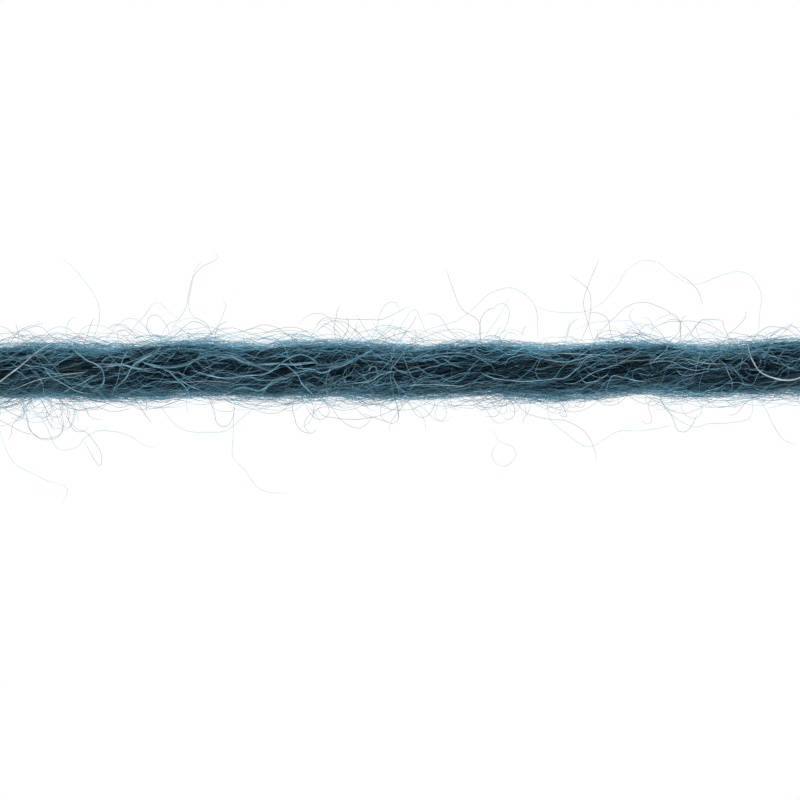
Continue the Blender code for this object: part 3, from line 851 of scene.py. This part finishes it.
    # The draw for lift goes into the shade as painted shade, meant to make low fibres darker and
    # high ones lighter. Where high fibres are rare, so are light ones. The fibres that are left are
    # numbered afresh, so the light ones aren't the high ones, and the shades lie mixed.
    passed_on = ("Thickness", "Tip Share", "Shade By Lift", "Seed", "Material")
    fibres = add(tree, "GeometryNodeGroup", {"node_tree": finish}, {
        "Geometry": laid, "Raised": known["raised"], **{name: known[name] for name in passed_on},
    })
    add(tree, "NodeGroupOutput", {}, [fibres])
    return tree


def route_tree(finish):
    """Makes a fibre of each chain of edges: a smooth path with the fine crimp that wool keeps."""
    tree, known = new_tree("fibre_along_route", {
        "Size": ("Step", "Crimp", "Crimp Length", "Table Gap", "Thickness"),
        "Float": ("Tip Share",),
        "Int": ("Seed",),
        "Material": ("Material",),
    })
    chains = add(tree, "GeometryNodeMeshToCurve", {}, [known["Geometry"]])
    eased = add(tree, "GeometryNodeCurveSplineType", {"spline_type": "CATMULL_ROM"}, [chains])
    fine = add(tree, "GeometryNodeResampleCurve", {"mode": "LENGTH"},
               {"Curve": eased, "Length": known["Step"]})
    known |= {
        "which": add(tree, "GeometryNodeCurveOfPoint").outputs["Curve Index"],
        "run": add(tree, "GeometryNodeSplineParameter").outputs["Length"],
        "position": add(tree, "GeometryNodeInputPosition"),
        "size": known["Crimp"],
    }
    work_out(tree, known, (
        ("run", "Math DIVIDE", "run", "Crimp Length"),
        ("side", "Math MULTIPLY_ADD", "which", ROUTE_GAP, "Seed"),
    ))
    position = strayed(tree, known, 1.0)
    crimped = add(tree, "GeometryNodeSetPosition", {}, {"Geometry": fine, "Position": position})
    passed_on = ("Thickness", "Tip Share", "Seed", "Material")
    fibres = add(tree, "GeometryNodeGroup", {"node_tree": finish}, {
        "Geometry": crimped, "Raised": 0.5, "Shade By Lift": 0.0,
        **{name: known[name] for name in passed_on},
    })
    add(tree, "NodeGroupOutput", {}, [fibres])
    return tree


def tree_named(name):
    """A node tree of this script, made when it is first asked for."""
    makers = {
        "plied_core": strand_tree,
        "wool_fibre": fibre_tree,
        "fibres_on_strand": lambda: lay_tree(tree_named("wool_fibre")),
        "fibre_along_route": lambda: route_tree(tree_named("wool_fibre")),
    }
    return bpy.data.node_groups.get(name) or makers[name]()


def grown(name, data, tree, values):
    """A plain mesh object: what the tree makes of the data with these inputs."""
    piece = bpy.data.objects.new(name, data)
    bpy.context.scene.collection.objects.link(piece)
    modifier = piece.modifiers.new(tree.name, "NODES")
    modifier.node_group = tree
    for socket in tree.interface.items_tree:
        if socket.in_out == "INPUT" and socket.name in values:
            modifier[socket.identifier] = values[socket.name]
    evaluated = piece.evaluated_get(bpy.context.evaluated_depsgraph_get())
    mesh = bpy.data.meshes.new_from_object(evaluated)
    mesh.name = name
    bpy.data.objects.remove(piece)
    piece = bpy.data.objects.new(name, mesh)
    bpy.context.scene.collection.objects.link(piece)
    if not len(mesh.polygons):
        raise RuntimeError(f"{name} came out empty")
    return piece


def ride_as_wool(piece):
    """The piece moves with the strand."""
    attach(piece, BODY)
    return piece


# -------------------------------------------------------------------------------- materials


def wool_shader(name, roughness):
    """A new material, its tree and its Principled node, matt as scoured wool is."""
    material = bpy.data.materials.new(name)
    material.use_nodes = True
    tree = material.node_tree
    shader = tree.nodes["Principled BSDF"]
    shader.inputs["Roughness"].default_value = roughness
    shader.inputs["IOR"].default_value = 1.54  # keratin
    shader.inputs["Specular IOR Level"].default_value = 0.3
    return material, tree, shader


def packed_wool_material(strand, wool):
    """Dyed wool, spun and packed under the surface, darkened as painted shade: nearly black, as the
    shade between the fibres is, with streaks of fibre that run along each ply."""
    material, tree, shader = wool_shader("dyed_packed_wool", 0.95)
    # A streak is 3 mm long and 0.05 mm wide: a real fibre is half as wide, and wouldn't show.
    streaks_along = round(LENGTH / (3.0 * MM))
    streaks_round = round(math.tau * strand.core_radius / (0.048 * MM))
    where = add(tree, "ShaderNodeUVMap", {"uv_map": "strand_uv"})
    stretched = add(tree, "ShaderNodeMapping", {},
                    {"Vector": where, "Scale": (streaks_along, streaks_round, 1.0)})
    streak = add(tree, "ShaderNodeTexNoise", {"noise_dimensions": "2D"},
                 {"Vector": stretched, "Scale": 1.0, "Detail": 3.0, "Roughness": 0.6})
    # These stops paint shade: darker than the deepest dye of the plies, so the gaps between fibres
    # read as shadow.
    stops = (0.35, linear("#1b3440")), (0.75, wool.deep)
    colour = add(tree, "ShaderNodeValToRGB", {}, [streak], stops).outputs["Color"]
    tree.links.new(colour, shader.inputs["Base Color"])
    bump = add(tree, "ShaderNodeBump", {}, {"Strength": 0.6, "Distance": 0.05 * MM, "Height": streak})
    tree.links.new(bump.outputs["Normal"], shader.inputs["Normal"])
    return material


# Each kind of wool: the share of the light it passes, then the dye of its fibres, from the
# darkest to the lightest.
KINDS_OF_WOOL = {
    # Dyed and spun: deep petrol blue with few lighter fibres, so the plies look solid and dark.
    "dyed_wool_in_the_plies": (
        0.25, (0.0, "deep"), (0.4, "dark"), (0.8, "middle"), (0.95, "light"), (1.0, "olive"),
    ),
    # Felted by handling: short ends with a wider range of shade, which make the surface mealy.
    "dyed_wool_felted": (
        0.25, (0.0, "deep"), (0.45, "dark"), (0.85, "faded"), (0.97, "light"), (1.0, "pale"),
    ),
    # Worked up to the surface: made paler as painted light, for fibres on top that catch more of it,
    # so it stands out as fine bright lines.
    "dyed_wool_on_top": (0.1, (0.0, "middle"), (0.3, "faded"), (0.8, "light"), (1.0, "light")),
    # Greasy fibre that took the dye badly: dull grey-green among the blue.
    "wool_that_took_little_dye": (0.2, (0.0, "olive"), (0.7, "olive"), (1.0, "pale")),
    # The finest ends, raised by rubbing: they pass light, which makes the blue haze at the edge, and
    # their lighter dye adds painted light to it.
    "fine_dyed_wool": (0.65, (0.0, "faded"), (0.4, "faded"), (1.0, "loose")),
    # Loose fibre that has matted: it glows where it is thin, and darkens where it lies close. Its
    # lighter dye is painted light.
    "dyed_wool_matted": (0.74, (0.0, "middle"), (0.35, "faded"), (0.65, "loose"), (1.0, "loose")),
    # Single fibres clear of the strand: the table's light comes through, and their dye is made
    # lighter as painted light, so they look pale.
    "dyed_wool_loose": (0.8, (0.0, "middle"), (0.3, "faded"), (0.55, "loose"), (1.0, "loose")),
    # Kemp, the stiff white hair in a fleece, which hardly takes dye: fine, then coarse.
    "undyed_fine_hair": (0.2, (0.0, "olive"), (0.7, "pale"), (1.0, "pale")),
    "undyed_coarse_hair": (0.3, (0.0, "pale"), (1.0, "pale")),
    # Cut across: the tufts open up, and their dye is made lighter than the plies' as painted light.
    "dyed_wool_cut": (0.4, (0.0, "dark"), (0.4, "middle"), (0.7, "faded"), (1.0, "loose")),
}


def fibre_material(wool, kind):
    """A kind of wool: each fibre takes one shade of the dye. Its scales make it matt, with a
    weak sheen."""
    if kind in bpy.data.materials:
        return bpy.data.materials[kind]
    material, tree, shader = wool_shader(kind, 0.7)
    passed, *stops = KINDS_OF_WOOL[kind]
    shade = add(tree, "ShaderNodeAttribute", {"attribute_name": "shade"}).outputs["Fac"]
    along = add(tree, "ShaderNodeAttribute", {"attribute_name": "along"}).outputs["Fac"]
    stops = [(position, getattr(wool, colour)) for position, colour in stops]
    dye = add(tree, "ShaderNodeValToRGB", {}, [shade], stops).outputs["Color"]
    # The dye takes unevenly: it varies about five times along a fibre, by a quarter or so, and
    # in its own way for each shade.
    run = add(tree, "ShaderNodeMath", {"operation": "MULTIPLY"}, [along, 5.0])
    side = add(tree, "ShaderNodeMath", {"operation": "MULTIPLY"}, [shade, SHADE_GAP])
    spot = add(tree, "ShaderNodeCombineXYZ", {}, [run, side, 0.0])
    patchy = add(tree, "ShaderNodeTexNoise", {"noise_dimensions": "2D"},
                 {"Vector": spot, "Scale": 1.0, "Detail": 1.0})
    value = add(tree, "ShaderNodeMapRange", {}, [patchy, 0.25, 0.75, 0.75, 1.3])
    varied = add(tree, "ShaderNodeHueSaturation", {}, {"Value": value, "Color": dye})
    tree.links.new(varied.outputs["Color"], shader.inputs["Base Color"])
    # Light passes through wool, which brightens the fuzz against a bright table.
    through = add(tree, "ShaderNodeBsdfTranslucent", {}, [varied.outputs["Color"]])
    skin = add(tree, "ShaderNodeMixShader", {}, [passed, shader, through])
    # The tube stands for solid wool, so light that has come in meets no second skin inside.
    inside = add(tree, "ShaderNodeNewGeometry").outputs["Backfacing"]
    clear = add(tree, "ShaderNodeBsdfTransparent")
    passing = add(tree, "ShaderNodeMixShader", {}, [inside, skin, clear])
    ray = add(tree, "ShaderNodeLightPath").outputs
    lit = add(tree, "ShaderNodeMixShader", {}, [ray["Is Shadow Ray"], skin, passing])
    whole = add(tree, "ShaderNodeMixShader", {}, [ray["Is Diffuse Ray"], lit, passing])
    tree.links.new(whole.outputs[0], tree.nodes["Material Output"].inputs["Surface"])
    return material


# ------------------------------------------------------------------------- the strand itself


class YARN_OT_core(bpy.types.Operator):
    """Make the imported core, which carries the twist of the plies"""

    bl_idname = "yarn.core"
    bl_label = "Packed Core"

    def execute(self, context):
        strand, wool = context.scene.yarn_strand, context.scene.yarn_wool
        core = grown("packed_core", bpy.data.meshes.new("start"), tree_named("plied_core"), {
            "Length": LENGTH - 2 * CORE_INSET, "Radius": strand.core_radius,
            "Outer Radius": strand.radius, "Pitch": strand.pitch, "Crest": strand.crest_x,
            "Pressed Depth": strand.pressed, "End Length": CORE_DOME,
            "Plies": float(strand.plies), "Relief": strand.core_relief,
            "Outer Relief": strand.relief, "Groove Share": strand.groove_share,
            "Sections": CORE_SECTIONS, "Points Around": CORE_POINTS,
            "Material": packed_wool_material(strand, wool),
        })
        ride_as_wool(core)
        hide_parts(NODE)
        return {"FINISHED"}


def laid_fibres(context, name, thickness, kind, seed, changes):
    """Fibres of a kind of wool laid over the core, with these changes from FIBRE_DEFAULTS."""
    strand, wool = context.scene.yarn_strand, context.scene.yarn_wool
    values = {
        "Strand Length": LENGTH, "Strand Radius": strand.core_radius, "Pitch": strand.pitch,
        "Crest": strand.crest_x, "Table Gap": thickness, "Thickness": thickness, "Seed": seed,
        "Material": fibre_material(wool, kind),
    }
    for key, value in {**FIBRE_DEFAULTS, **changes}.items():
        values[key] = value * MM if key in IN_MM else value
    core = bpy.data.objects["packed_core"]
    return ride_as_wool(grown(name, core.data.copy(), tree_named("fibres_on_strand"), values))


class YARN_OT_ply_fibres(bpy.types.Operator):
    """Lay the fibres of each ply over the core"""

    bl_idname = "yarn.ply_fibres"
    bl_label = "Ply Fibres"

    def execute(self, context):
        strand, wool = context.scene.yarn_strand, context.scene.yarn_wool
        for ply in range(strand.plies):
            middle = ply / strand.plies
            changes = {
                "Fibres": PLY_FIBRES, "Points": 10,
                "Ply Low": middle - 0.5 / strand.plies, "Ply High": middle + 0.5 / strand.plies,
            }
            name = f"ply_fibres_{ply + 1}"
            laid_fibres(context, name, wool.fibre, "dyed_wool_in_the_plies", 11 + ply, changes)
        return {"FINISHED"}


# What is laid over the plies, in this order: its name, thickness, kind of wool, seed, and how
# it differs from FIBRE_DEFAULTS.
FUZZ = (
    # Loose pairs that wander over the plies, on the -X side of the middle.
    ("surface_web", "fibre", "dyed_wool_on_top", 71, {
        "Fibres": 110, "Points": 15, "Bundle": 2.0, "Spread": 0.25, "Shortest": 3.0,
        "Longest": 9.0, "To": 0.58, "Lean": 0.6, "Slip": 0.8, "Lift Low": 0.3,
        "Lift High": 0.42, "Waver": 0.8, "Waver Length": 2.5, "Lock Lift": 0.05, "Gather": 0.2,
    }),
    # Short ends that handling has worked into each other across the plies.
    ("felted_fibres", "fine_fibre", "dyed_wool_felted", 83, {
        "Fibres": 5000, "Points": 6, "Shortest": 0.5, "Longest": 2.4, "Lean": 0.5,
        "Slip": 0.12, "Lift Low": 0.2, "Lift High": 0.38, "Lift Rarity": 1.0, "Waver": 0.3,
        "Waver Length": 0.9, "Stray": 0.03, "Stray Length": 0.6, "Gather": 0.0,
    }),
    # Fibres that took little dye, anywhere.
    ("undyed_fibres", "fibre", "wool_that_took_little_dye", 89, {
        "Fibres": 90, "Points": 12, "Shortest": 4.0, "Longest": 9.0, "Lean": 0.6, "Slip": 0.08,
        "Lift Low": 0.24, "Lift High": 0.38, "Waver": 0.25,
    }),
    # The haze close to both sides.
    ("short_fuzz", "fine_fibre", "fine_dyed_wool", 97, {
        "Fibres": 9000, "Points": 9, "Rubbed": 1.0, "Lift Rarity": 1.2, "Shortest": 0.9,
        "Longest": 3.0, "Lean": 0.8, "Slip": 0.12, "Lift Low": 0.18, "Lift High": 0.62,
        "Arch": 0.2, "Arch Rarity": 1.8, "Tip Reach": 0.14, "Waver": 0.26,
        "Waver Length": 0.7, "Stray": 0.1, "Stray Length": 0.6, "Gather": 0.0,
    }),
    # The longer fibres that bridge the haze.
    ("close_fuzz", "loose_fibre", "dyed_wool_matted", 101, {
        "Fibres": 2300, "Points": 12, "Rubbed": 0.94, "Lift Rarity": 1.0, "Shortest": 2.0,
        "Longest": 7.0, "Lean": 0.8, "Slip": 0.14, "Lift Low": 0.28, "Lift High": 0.56,
        "Arch": 0.95, "Arch Rarity": 3.0, "Waver": 0.5, "Waver Length": 1.5, "Stray": 0.22,
        "Stray Length": 1.2, "Gather": 0.0,
    }),
    # A few loops that stand clear.
    ("loops", "loose_fibre", "dyed_wool_loose", 131, {
        "Fibres": 60, "Points": 26, "Shortest": 4.0, "Longest": 11.0, "Lean": 0.8, "Slip": 0.3,
        "Lift Low": 0.2, "Lift High": 0.5, "Arch": 1.9, "Arch Rarity": 2.5, "Waver": 0.6,
        "Waver Length": 2.0, "Stray": 0.5, "Stray Length": 3.5, "Gather": 0.0,
    }),
)


class YARN_OT_fuzz(bpy.types.Operator):
    """Raise the web, the felt, the close fuzz and the loops that stand off the strand"""

    bl_idname = "yarn.fuzz"
    bl_label = "Fuzz"

    def execute(self, context):
        for name, thickness, kind, seed, changes in FUZZ:
            thickness = getattr(context.scene.yarn_wool, thickness)
            laid_fibres(context, name, thickness, kind, seed, changes)
        return {"FINISHED"}


# ---------------------------------------------------------------------- fibres along routes


def eased_route(points, step):
    """Points that run smoothly through the given ones, about a step apart."""
    knots = [Vector(point) for point in points]
    knots = [2 * knots[0] - knots[1], *knots, 2 * knots[-1] - knots[-2]]
    route = []
    for before, first, second, after in zip(knots, knots[1:], knots[2:], knots[3:]):
        count = max(2, round((second - first).length / step) + 1)
        handles = first + (second - before) / 6, second - (after - first) / 6
        route += interpolate_bezier(first, *handles, second, count)[:-1]
    return [*route, knots[-2]]


def swollen(core, lift):
    """The core's surface, moved out by a lift, to drop fibres on."""
    vertices = [vertex.co + lift * vertex.normal for vertex in core.data.vertices]
    return BVHTree.FromPolygons(vertices, [tuple(face.vertices) for face in core.data.polygons])


def dropped(points, surface, dice, tilt=0.0, copies=1):
    """Routes over the strand through points (x, y) in millimetres: on its surface where they
    cross it, and beside it on a plane that leaves its middle height at a tilt. The first copy
    runs all the way, and the others run beside it and part from it at their ends."""
    path = eased_route([Vector(point) * MM for point in points], DROP_STEP)
    heights = []
    for x, y in path:
        hit = surface.ray_cast(Vector((x, y, 4 * HIGH.z)), Vector((0, 0, -1)))[0]
        beyond = max(abs(y) - SIDE * MM, 0.0)
        heights.append(max(hit.z, BESIDE_HEIGHT) if hit else BESIDE_HEIGHT + beyond * tilt)
    for _ in range(SMOOTHINGS):
        padded = [heights[0], *heights, heights[-1]]
        heights = [sum(padded[i:i + 3]) / 3 for i in range(len(heights))]
    routes = []
    for copy in range(copies):
        turn = dice.uniform(0, math.tau)
        gap, fan, first, last = 0.0, 0.0, 0, len(path)
        if copy:
            gap = dice.uniform(0.02, 0.09) * MM
            fan = dice.uniform(-0.12, 0.12) * MM
            first = dice.randint(0, len(path) // 4)
            last -= dice.randint(0, len(path) // 4)
        across, upward = gap * math.cos(turn), abs(gap * math.sin(turn))
        routes.append([
            (
                path[i].x,
                path[i].y + across + fan * (2 * i / len(path) - 1) ** 3,
                heights[i] + upward,
            )
            for i in range(first, last)
        ])
    return routes


def next_bend(dice, bend, curl, change):
    """How a loose fibre bends at its next step, from how it bends now."""
    bend += dice.gauss(-EASING * bend / curl, change) * curl
    return max(-TIGHTEST * curl, min(TIGHTEST * curl, bend))


def wandering(dice, x, angle, reach, length, far, curl):
    """A route that bends as loose wool does, from x on the strand, at an angle round it from
    the top, starting this far out from its line. It turns back when it gets far, and as it
    ends. All in millimetres, the curl per millimetre."""
    step = 0.35
    line = MIDDLE_HEIGHT / MM
    heading = dice.choice((0.0, math.pi)) + dice.uniform(-0.2, 0.9)
    if heading > math.pi / 2:
        heading = 2 * math.pi - heading
    bend = dice.choice((-1, 1)) * dice.uniform(0.3, 1.0) * curl
    route = []
    steps = max(4, round(length / step))
    for done in range(steps):
        across, upward = reach * math.sin(angle), line + reach * math.cos(angle)
        route.append((x * MM, across * MM, upward * MM))
        bend = next_bend(dice, bend, curl, 0.5)
        heading += bend * step
        # It would rather lie along the strand than stand off it, and comes back to its side.
        heading -= LIES_ALONG * math.sin(2.0 * heading) * step
        limit = far - (far - SIDE) * (done / steps) ** 2
        heading -= TURNS_BACK * max(reach - limit, 0.0) * math.cos(heading) * step
        x += math.cos(heading) * step
        reach = max(reach + math.sin(heading) * step, INNERMOST)
        angle += dice.gauss(0.0, 0.05)
    return route


def curled(dice, x, y, length, curl):
    """Points (x, y) in millimetres that bend as loose wool does, the curl per millimetre."""
    step = 0.3
    heading = dice.uniform(0.0, math.tau)
    bend = dice.choice((-1, 1)) * dice.uniform(0.2, 1.0) * curl
    points = []
    for _ in range(max(4, round(length / step))):
        points.append((x, y))
        bend = next_bend(dice, bend, curl, 0.4)
        heading += bend * step
        heading -= LIES_ALONG_ON_TOP * math.sin(2.0 * heading) * step
        x += math.cos(heading) * step
        y += math.sin(heading) * step
    return points


def chains(name, routes):
    """A mesh with a chain of edges for each route."""
    points, edges = [], []
    for route in routes:
        first = len(points)
        points += route
        edges += [(first + i, first + i + 1) for i in range(len(route) - 1)]
    mesh = bpy.data.meshes.new(name)
    mesh.from_pydata(points, edges, [])
    return mesh


# What follows routes: its thickness, kind of wool, seed, the step between its points and the
# size and length of its crimp, all in millimetres, and what is left of it at its tips.
ROUTED = {
    "crossing_fibres": ("crossing_fibre", "dyed_wool_on_top", 171, 0.25, 0.045, 1.2, 0.4),
    "flyaways": ("loose_fibre", "dyed_wool_loose", 191, 0.3, 0.05, 1.0, 0.4),
    "pale_hairs": ("pale_hair", "undyed_fine_hair", 201, 0.3, 0.03, 1.6, 0.4),
    "coarse_hairs": ("coarse_fibre", "undyed_coarse_hair", 211, 0.4, 0.02, 2.0, 0.4),
    "matted_fibre": ("loose_fibre", "dyed_wool_matted", 231, 0.3, 0.04, 0.9, 0.4),
    "tangled_fibre": ("tangled_fibre", "dyed_wool_on_top", 241, 0.25, 0.03, 1.0, 0.4),
    "cut_ends": ("fibre", "dyed_wool_cut", 251, 0.5, 0.05, 1.5, 0.9),
}


def routed_fibres(context, name, routes):
    """A fibre along each route, as ROUTED says."""
    wool = context.scene.yarn_wool
    thickness, kind, seed, step, crimp, crimp_length, tip = ROUTED[name]
    thickness = getattr(wool, thickness)
    return ride_as_wool(grown(name, chains(name, routes), tree_named("fibre_along_route"), {
        "Step": step * MM, "Crimp": crimp * MM, "Crimp Length": crimp_length * MM,
        "Table Gap": thickness, "Thickness": thickness, "Tip Share": tip, "Seed": seed,
        "Material": fibre_material(wool, kind),
    }))


class YARN_OT_single_fibres(bpy.types.Operator):
    """Lay the fibres that the eye picks out: across the strand, clear of it, and pale hairs"""

    bl_idname = "yarn.single_fibres"
    bl_label = "Single Fibres"

    def execute(self, context):
        core = bpy.data.objects["packed_core"]
        dice = random.Random(5)
        surface = swollen(core, LAID_LIFT)
        crossing = [
            route for copies, points in CROSSING
            for route in dropped(points, surface, dice, copies=copies)
        ]
        routed_fibres(context, "crossing_fibres", crossing)
        clear = [
            route for points in FLYAWAYS
            for route in dropped(points, surface, dice, tilt=dice.uniform(-0.15, 0.6))
        ]
        routed_fibres(context, "flyaways", clear)
        pale = [route for points in PALE_HAIRS for route in dropped(points, surface, dice)]
        routed_fibres(context, "pale_hairs", pale)
        surface = swollen(core, HAIR_LIFT)
        coarse = [route for points in COARSE_HAIRS for route in dropped(points, surface, dice)]
        routed_fibres(context, "coarse_hairs", coarse)
        return {"FINISHED"}


class YARN_OT_matted(bpy.types.Operator):
    """Tangle the loose fibre beside the strand and on top of it, and scatter stray fibres"""

    bl_idname = "yarn.matted"
    bl_label = "Matted Fibre"

    def execute(self, context):
        routed_fibres(context, "matted_fibre", self.beside(random.Random(9)))
        routed_fibres(context, "tangled_fibre", self.on_top(random.Random(17)))
        return {"FINISHED"}

    def beside(self, dice):
        """Routes for the matted fibre, and for a few strays anywhere along the strand."""
        routes = []
        for row in MATTED:
            for _ in range(row["fibres"]):
                x = row["x"] + row["half"] * dice.uniform(-1.0, 1.0)
                angle = row["side"] * math.radians(dice.uniform(70.0, 105.0))
                length = row["length"] * dice.uniform(0.5, 1.2)
                route = wandering(dice, x, angle, MAT_START, length, row["far"], row["curl"])
                routes.append(route)
        for _ in range(STRAYS):
            x = dice.uniform(-29.0, 29.0)
            angle = dice.uniform(-2.0, 2.0)
            length = dice.uniform(4.0, 10.0)
            routes.append(wandering(dice, x, angle, SIDE, length, far=2.6, curl=0.6))
        return routes

    def on_top(self, dice):
        """Routes for the tangles on top of the strand."""
        surface = swollen(bpy.data.objects["packed_core"], LAID_LIFT)
        routes = []
        for row in TANGLED:
            for _ in range(row["fibres"]):
                x = row["x"] + row["half"] * dice.uniform(-1.0, 1.0)
                y = row["y"] + row["side"] * dice.uniform(-1.0, 1.0)
                points = curled(dice, x, y, row["length"] * dice.uniform(0.5, 1.2), row["curl"])
                routes += dropped(points, surface, dice)
        return routes


class YARN_OT_cut_ends(bpy.types.Operator):
    """Tuft the two cut ends"""

    bl_idname = "yarn.cut_ends"
    bl_label = "Cut Ends"

    def execute(self, context):
        radius = context.scene.yarn_strand.core_radius
        thickness = context.scene.yarn_wool.fibre
        path = strand_path(bpy.data.objects["packed_core"])
        dice = random.Random(13)
        routes = [
            self.tuft_fibre(dice, side, middle, radius, thickness)
            for side, middle in ((-1, path[0]), (1, path[-1]))
            for _ in range(TUFT_FIBRES)
        ]
        routed_fibres(context, "cut_ends", routes)
        return {"FINISHED"}

    def tuft_fibre(self, dice, side, middle, radius, thickness):
        """A route from inside the strand out past its end, splayed a little and still twisting."""
        reach = TUFT_REACH * radius * math.sqrt(dice.random())
        angle = dice.uniform(0.0, math.tau)
        starts = LENGTH / 2 - dice.uniform(2.0, 4.0) * MM
        ends = LENGTH / 2 + dice.uniform(-0.5, 0.4) * MM
        splay = dice.uniform(0.0, 0.25) * MM * reach / radius
        route = []
        for share in (0.0, 0.4, 0.75, 1.0):
            out = reach + splay * share * share
            turn = angle + 0.5 * share
            route.append((
                side * (starts + (ends - starts) * share),
                middle[1] + out * math.sin(turn),
                max(middle[2] + out * math.cos(turn), thickness),
            ))
        return route


def strand_path(core):
    """The strand's line, from its cut end at -X to the other: the middle of the core's rings."""
    rings = {}
    for vertex in core.data.vertices:
        rings.setdefault(round(vertex.co.x / PATH_STEP), []).append(vertex.co)
    middles = [sum(found, Vector()) / len(found) for _, found in sorted(rings.items())]
    first = Vector((LOW.x, middles[0].y, middles[0].z))
    last = Vector((HIGH.x, middles[-1].y, middles[-1].z))
    return [tuple(point) for point in [first, *middles[1:-1], last]]


class YARN_OT_declare(bpy.types.Operator):
    """Work out the strand's line from the core; nothing further is done with it"""

    bl_idname = "yarn.declare"
    bl_label = "Declare the Strand"

    def execute(self, context):
        core = bpy.data.objects["packed_core"]
        path = strand_path(core)
        return {"FINISHED"}


# ------------------------------------------------------------------------------------ stage

TABLE_WIDTH = 3.0
LAMP_SIZE = (0.30, 0.08)
LAMP_PLACE = (0.0, 0.25, 0.05)  # the one towards +Y; the other is its mirror image
LAMP_WATTS = {1: 1.02, -1: 0.74}  # towards +Y, and towards -Y
VIEW_WIDTH = 50.0 * MM  # how much of the strand the camera sees
VIEW_Y = -1.92 * MM  # how far the middle of the view is from the strand's line


class YARN_OT_stage(bpy.types.Operator):
    """Set the pale table, the soft light and the camera straight above"""

    bl_idname = "yarn.stage"
    bl_label = "Stage"

    def execute(self, context):
        scene = context.scene
        scene.view_settings.view_transform = "Standard"
        self.table(scene)
        self.tent(scene)
        self.lamps(scene)
        self.camera(scene)
        return {"FINISHED"}

    def table(self, scene):
        """White acrylic, lit from below as a light table is: it throws no shadow back, and its
        light comes through the fuzz."""
        mesh = bpy.data.meshes.new("table")
        half = TABLE_WIDTH / 2
        corners = [(-half, -half, 0), (half, -half, 0), (half, half, 0), (-half, half, 0)]
        mesh.from_pydata(corners, [], [(0, 1, 2, 3)])
        material = bpy.data.materials.new("white_acrylic")
        material.use_nodes = True
        shader = material.node_tree.nodes["Principled BSDF"]
        shader.inputs["Base Color"].default_value = linear("#000000")
        shader.inputs["Specular IOR Level"].default_value = 0.0
        shader.inputs["Emission Color"].default_value = linear("#ffffff")
        shader.inputs["Emission Strength"].default_value = 1.0
        mesh.materials.append(material)
        table = bpy.data.objects.new("table", mesh)
        scene.collection.objects.link(table)

    def tent(self, scene):
        """A light tent, weak overhead and white near the horizon."""
        world = bpy.data.worlds.new("light_tent")
        world.use_nodes = True
        tree = world.node_tree
        shell = add(tree, "ShaderNodeTexCoord").outputs["Generated"]
        height = add(tree, "ShaderNodeSeparateXYZ", {}, [shell]).outputs["Z"]
        stops = (0.05, (1.0, 1.0, 1.0, 1.0)), (0.35, (0.08, 0.08, 0.08, 1.0))
        colour = add(tree, "ShaderNodeValToRGB", {}, [height], stops).outputs["Color"]
        background = tree.nodes["Background"]
        tree.links.new(colour, background.inputs["Color"])
        background.inputs["Strength"].default_value = 1.6
        scene.world = world

    def lamps(self, scene):
        """A long low lamp at each side, the one towards +Y a little stronger."""
        for side, watts in LAMP_WATTS.items():
            light = bpy.data.lights.new(f"side_light_{side + 2}", "AREA")
            light.shape = "RECTANGLE"
            light.size, light.size_y = LAMP_SIZE
            light.energy = watts
            lamp = bpy.data.objects.new(light.name, light)
            lamp.location = (LAMP_PLACE[0], LAMP_PLACE[1] * side, LAMP_PLACE[2])
            lamp.rotation_euler = (Vector() - lamp.location).to_track_quat("-Z", "Y").to_euler()
            scene.collection.objects.link(lamp)

    def camera(self, scene):
        """Straight down, with the strand running across a little above the middle."""
        lens = bpy.data.cameras.new("camera")
        lens.lens = 100.0
        lens.sensor_width = 36.0
        lens.clip_start = 0.005
        camera = bpy.data.objects.new("camera", lens)
        distance = VIEW_WIDTH * lens.lens / lens.sensor_width
        camera.location = (0.0, VIEW_Y, MIDDLE_HEIGHT + distance)
        scene.collection.objects.link(camera)
        scene.camera = camera


class YARN_PT_panel(bpy.types.Panel):
    """The sizes of the yarn, and the steps that make it"""

    bl_idname = "YARN_PT_panel"
    bl_label = "Wool Yarn"
    bl_space_type = "VIEW_3D"
    bl_region_type = "UI"
    bl_category = "Yarn"

    def draw(self, context):
        for settings in (context.scene.yarn_strand, context.scene.yarn_wool):
            for name in settings.__annotations__:
                self.layout.prop(settings, name)
        for operator in STEPS:
            self.layout.operator(operator.bl_idname)


STEPS = (
    YARN_OT_stage, YARN_OT_core, YARN_OT_ply_fibres, YARN_OT_fuzz, YARN_OT_single_fibres,
    YARN_OT_matted, YARN_OT_cut_ends, YARN_OT_declare,
)
CLASSES = (StrandSettings, WoolSettings, *STEPS, YARN_PT_panel)


def register():
    for found in CLASSES:
        bpy.utils.register_class(found)
    bpy.types.Scene.yarn_strand = PointerProperty(type=StrandSettings)
    bpy.types.Scene.yarn_wool = PointerProperty(type=WoolSettings)


def unregister():
    del bpy.types.Scene.yarn_wool
    del bpy.types.Scene.yarn_strand
    for found in reversed(CLASSES):
        bpy.utils.unregister_class(found)


def main():
    register()
    for step in STEPS:
        group, name = step.bl_idname.split(".")
        getattr(getattr(bpy.ops, group), name)()


if __name__ == "__main__":
    main()
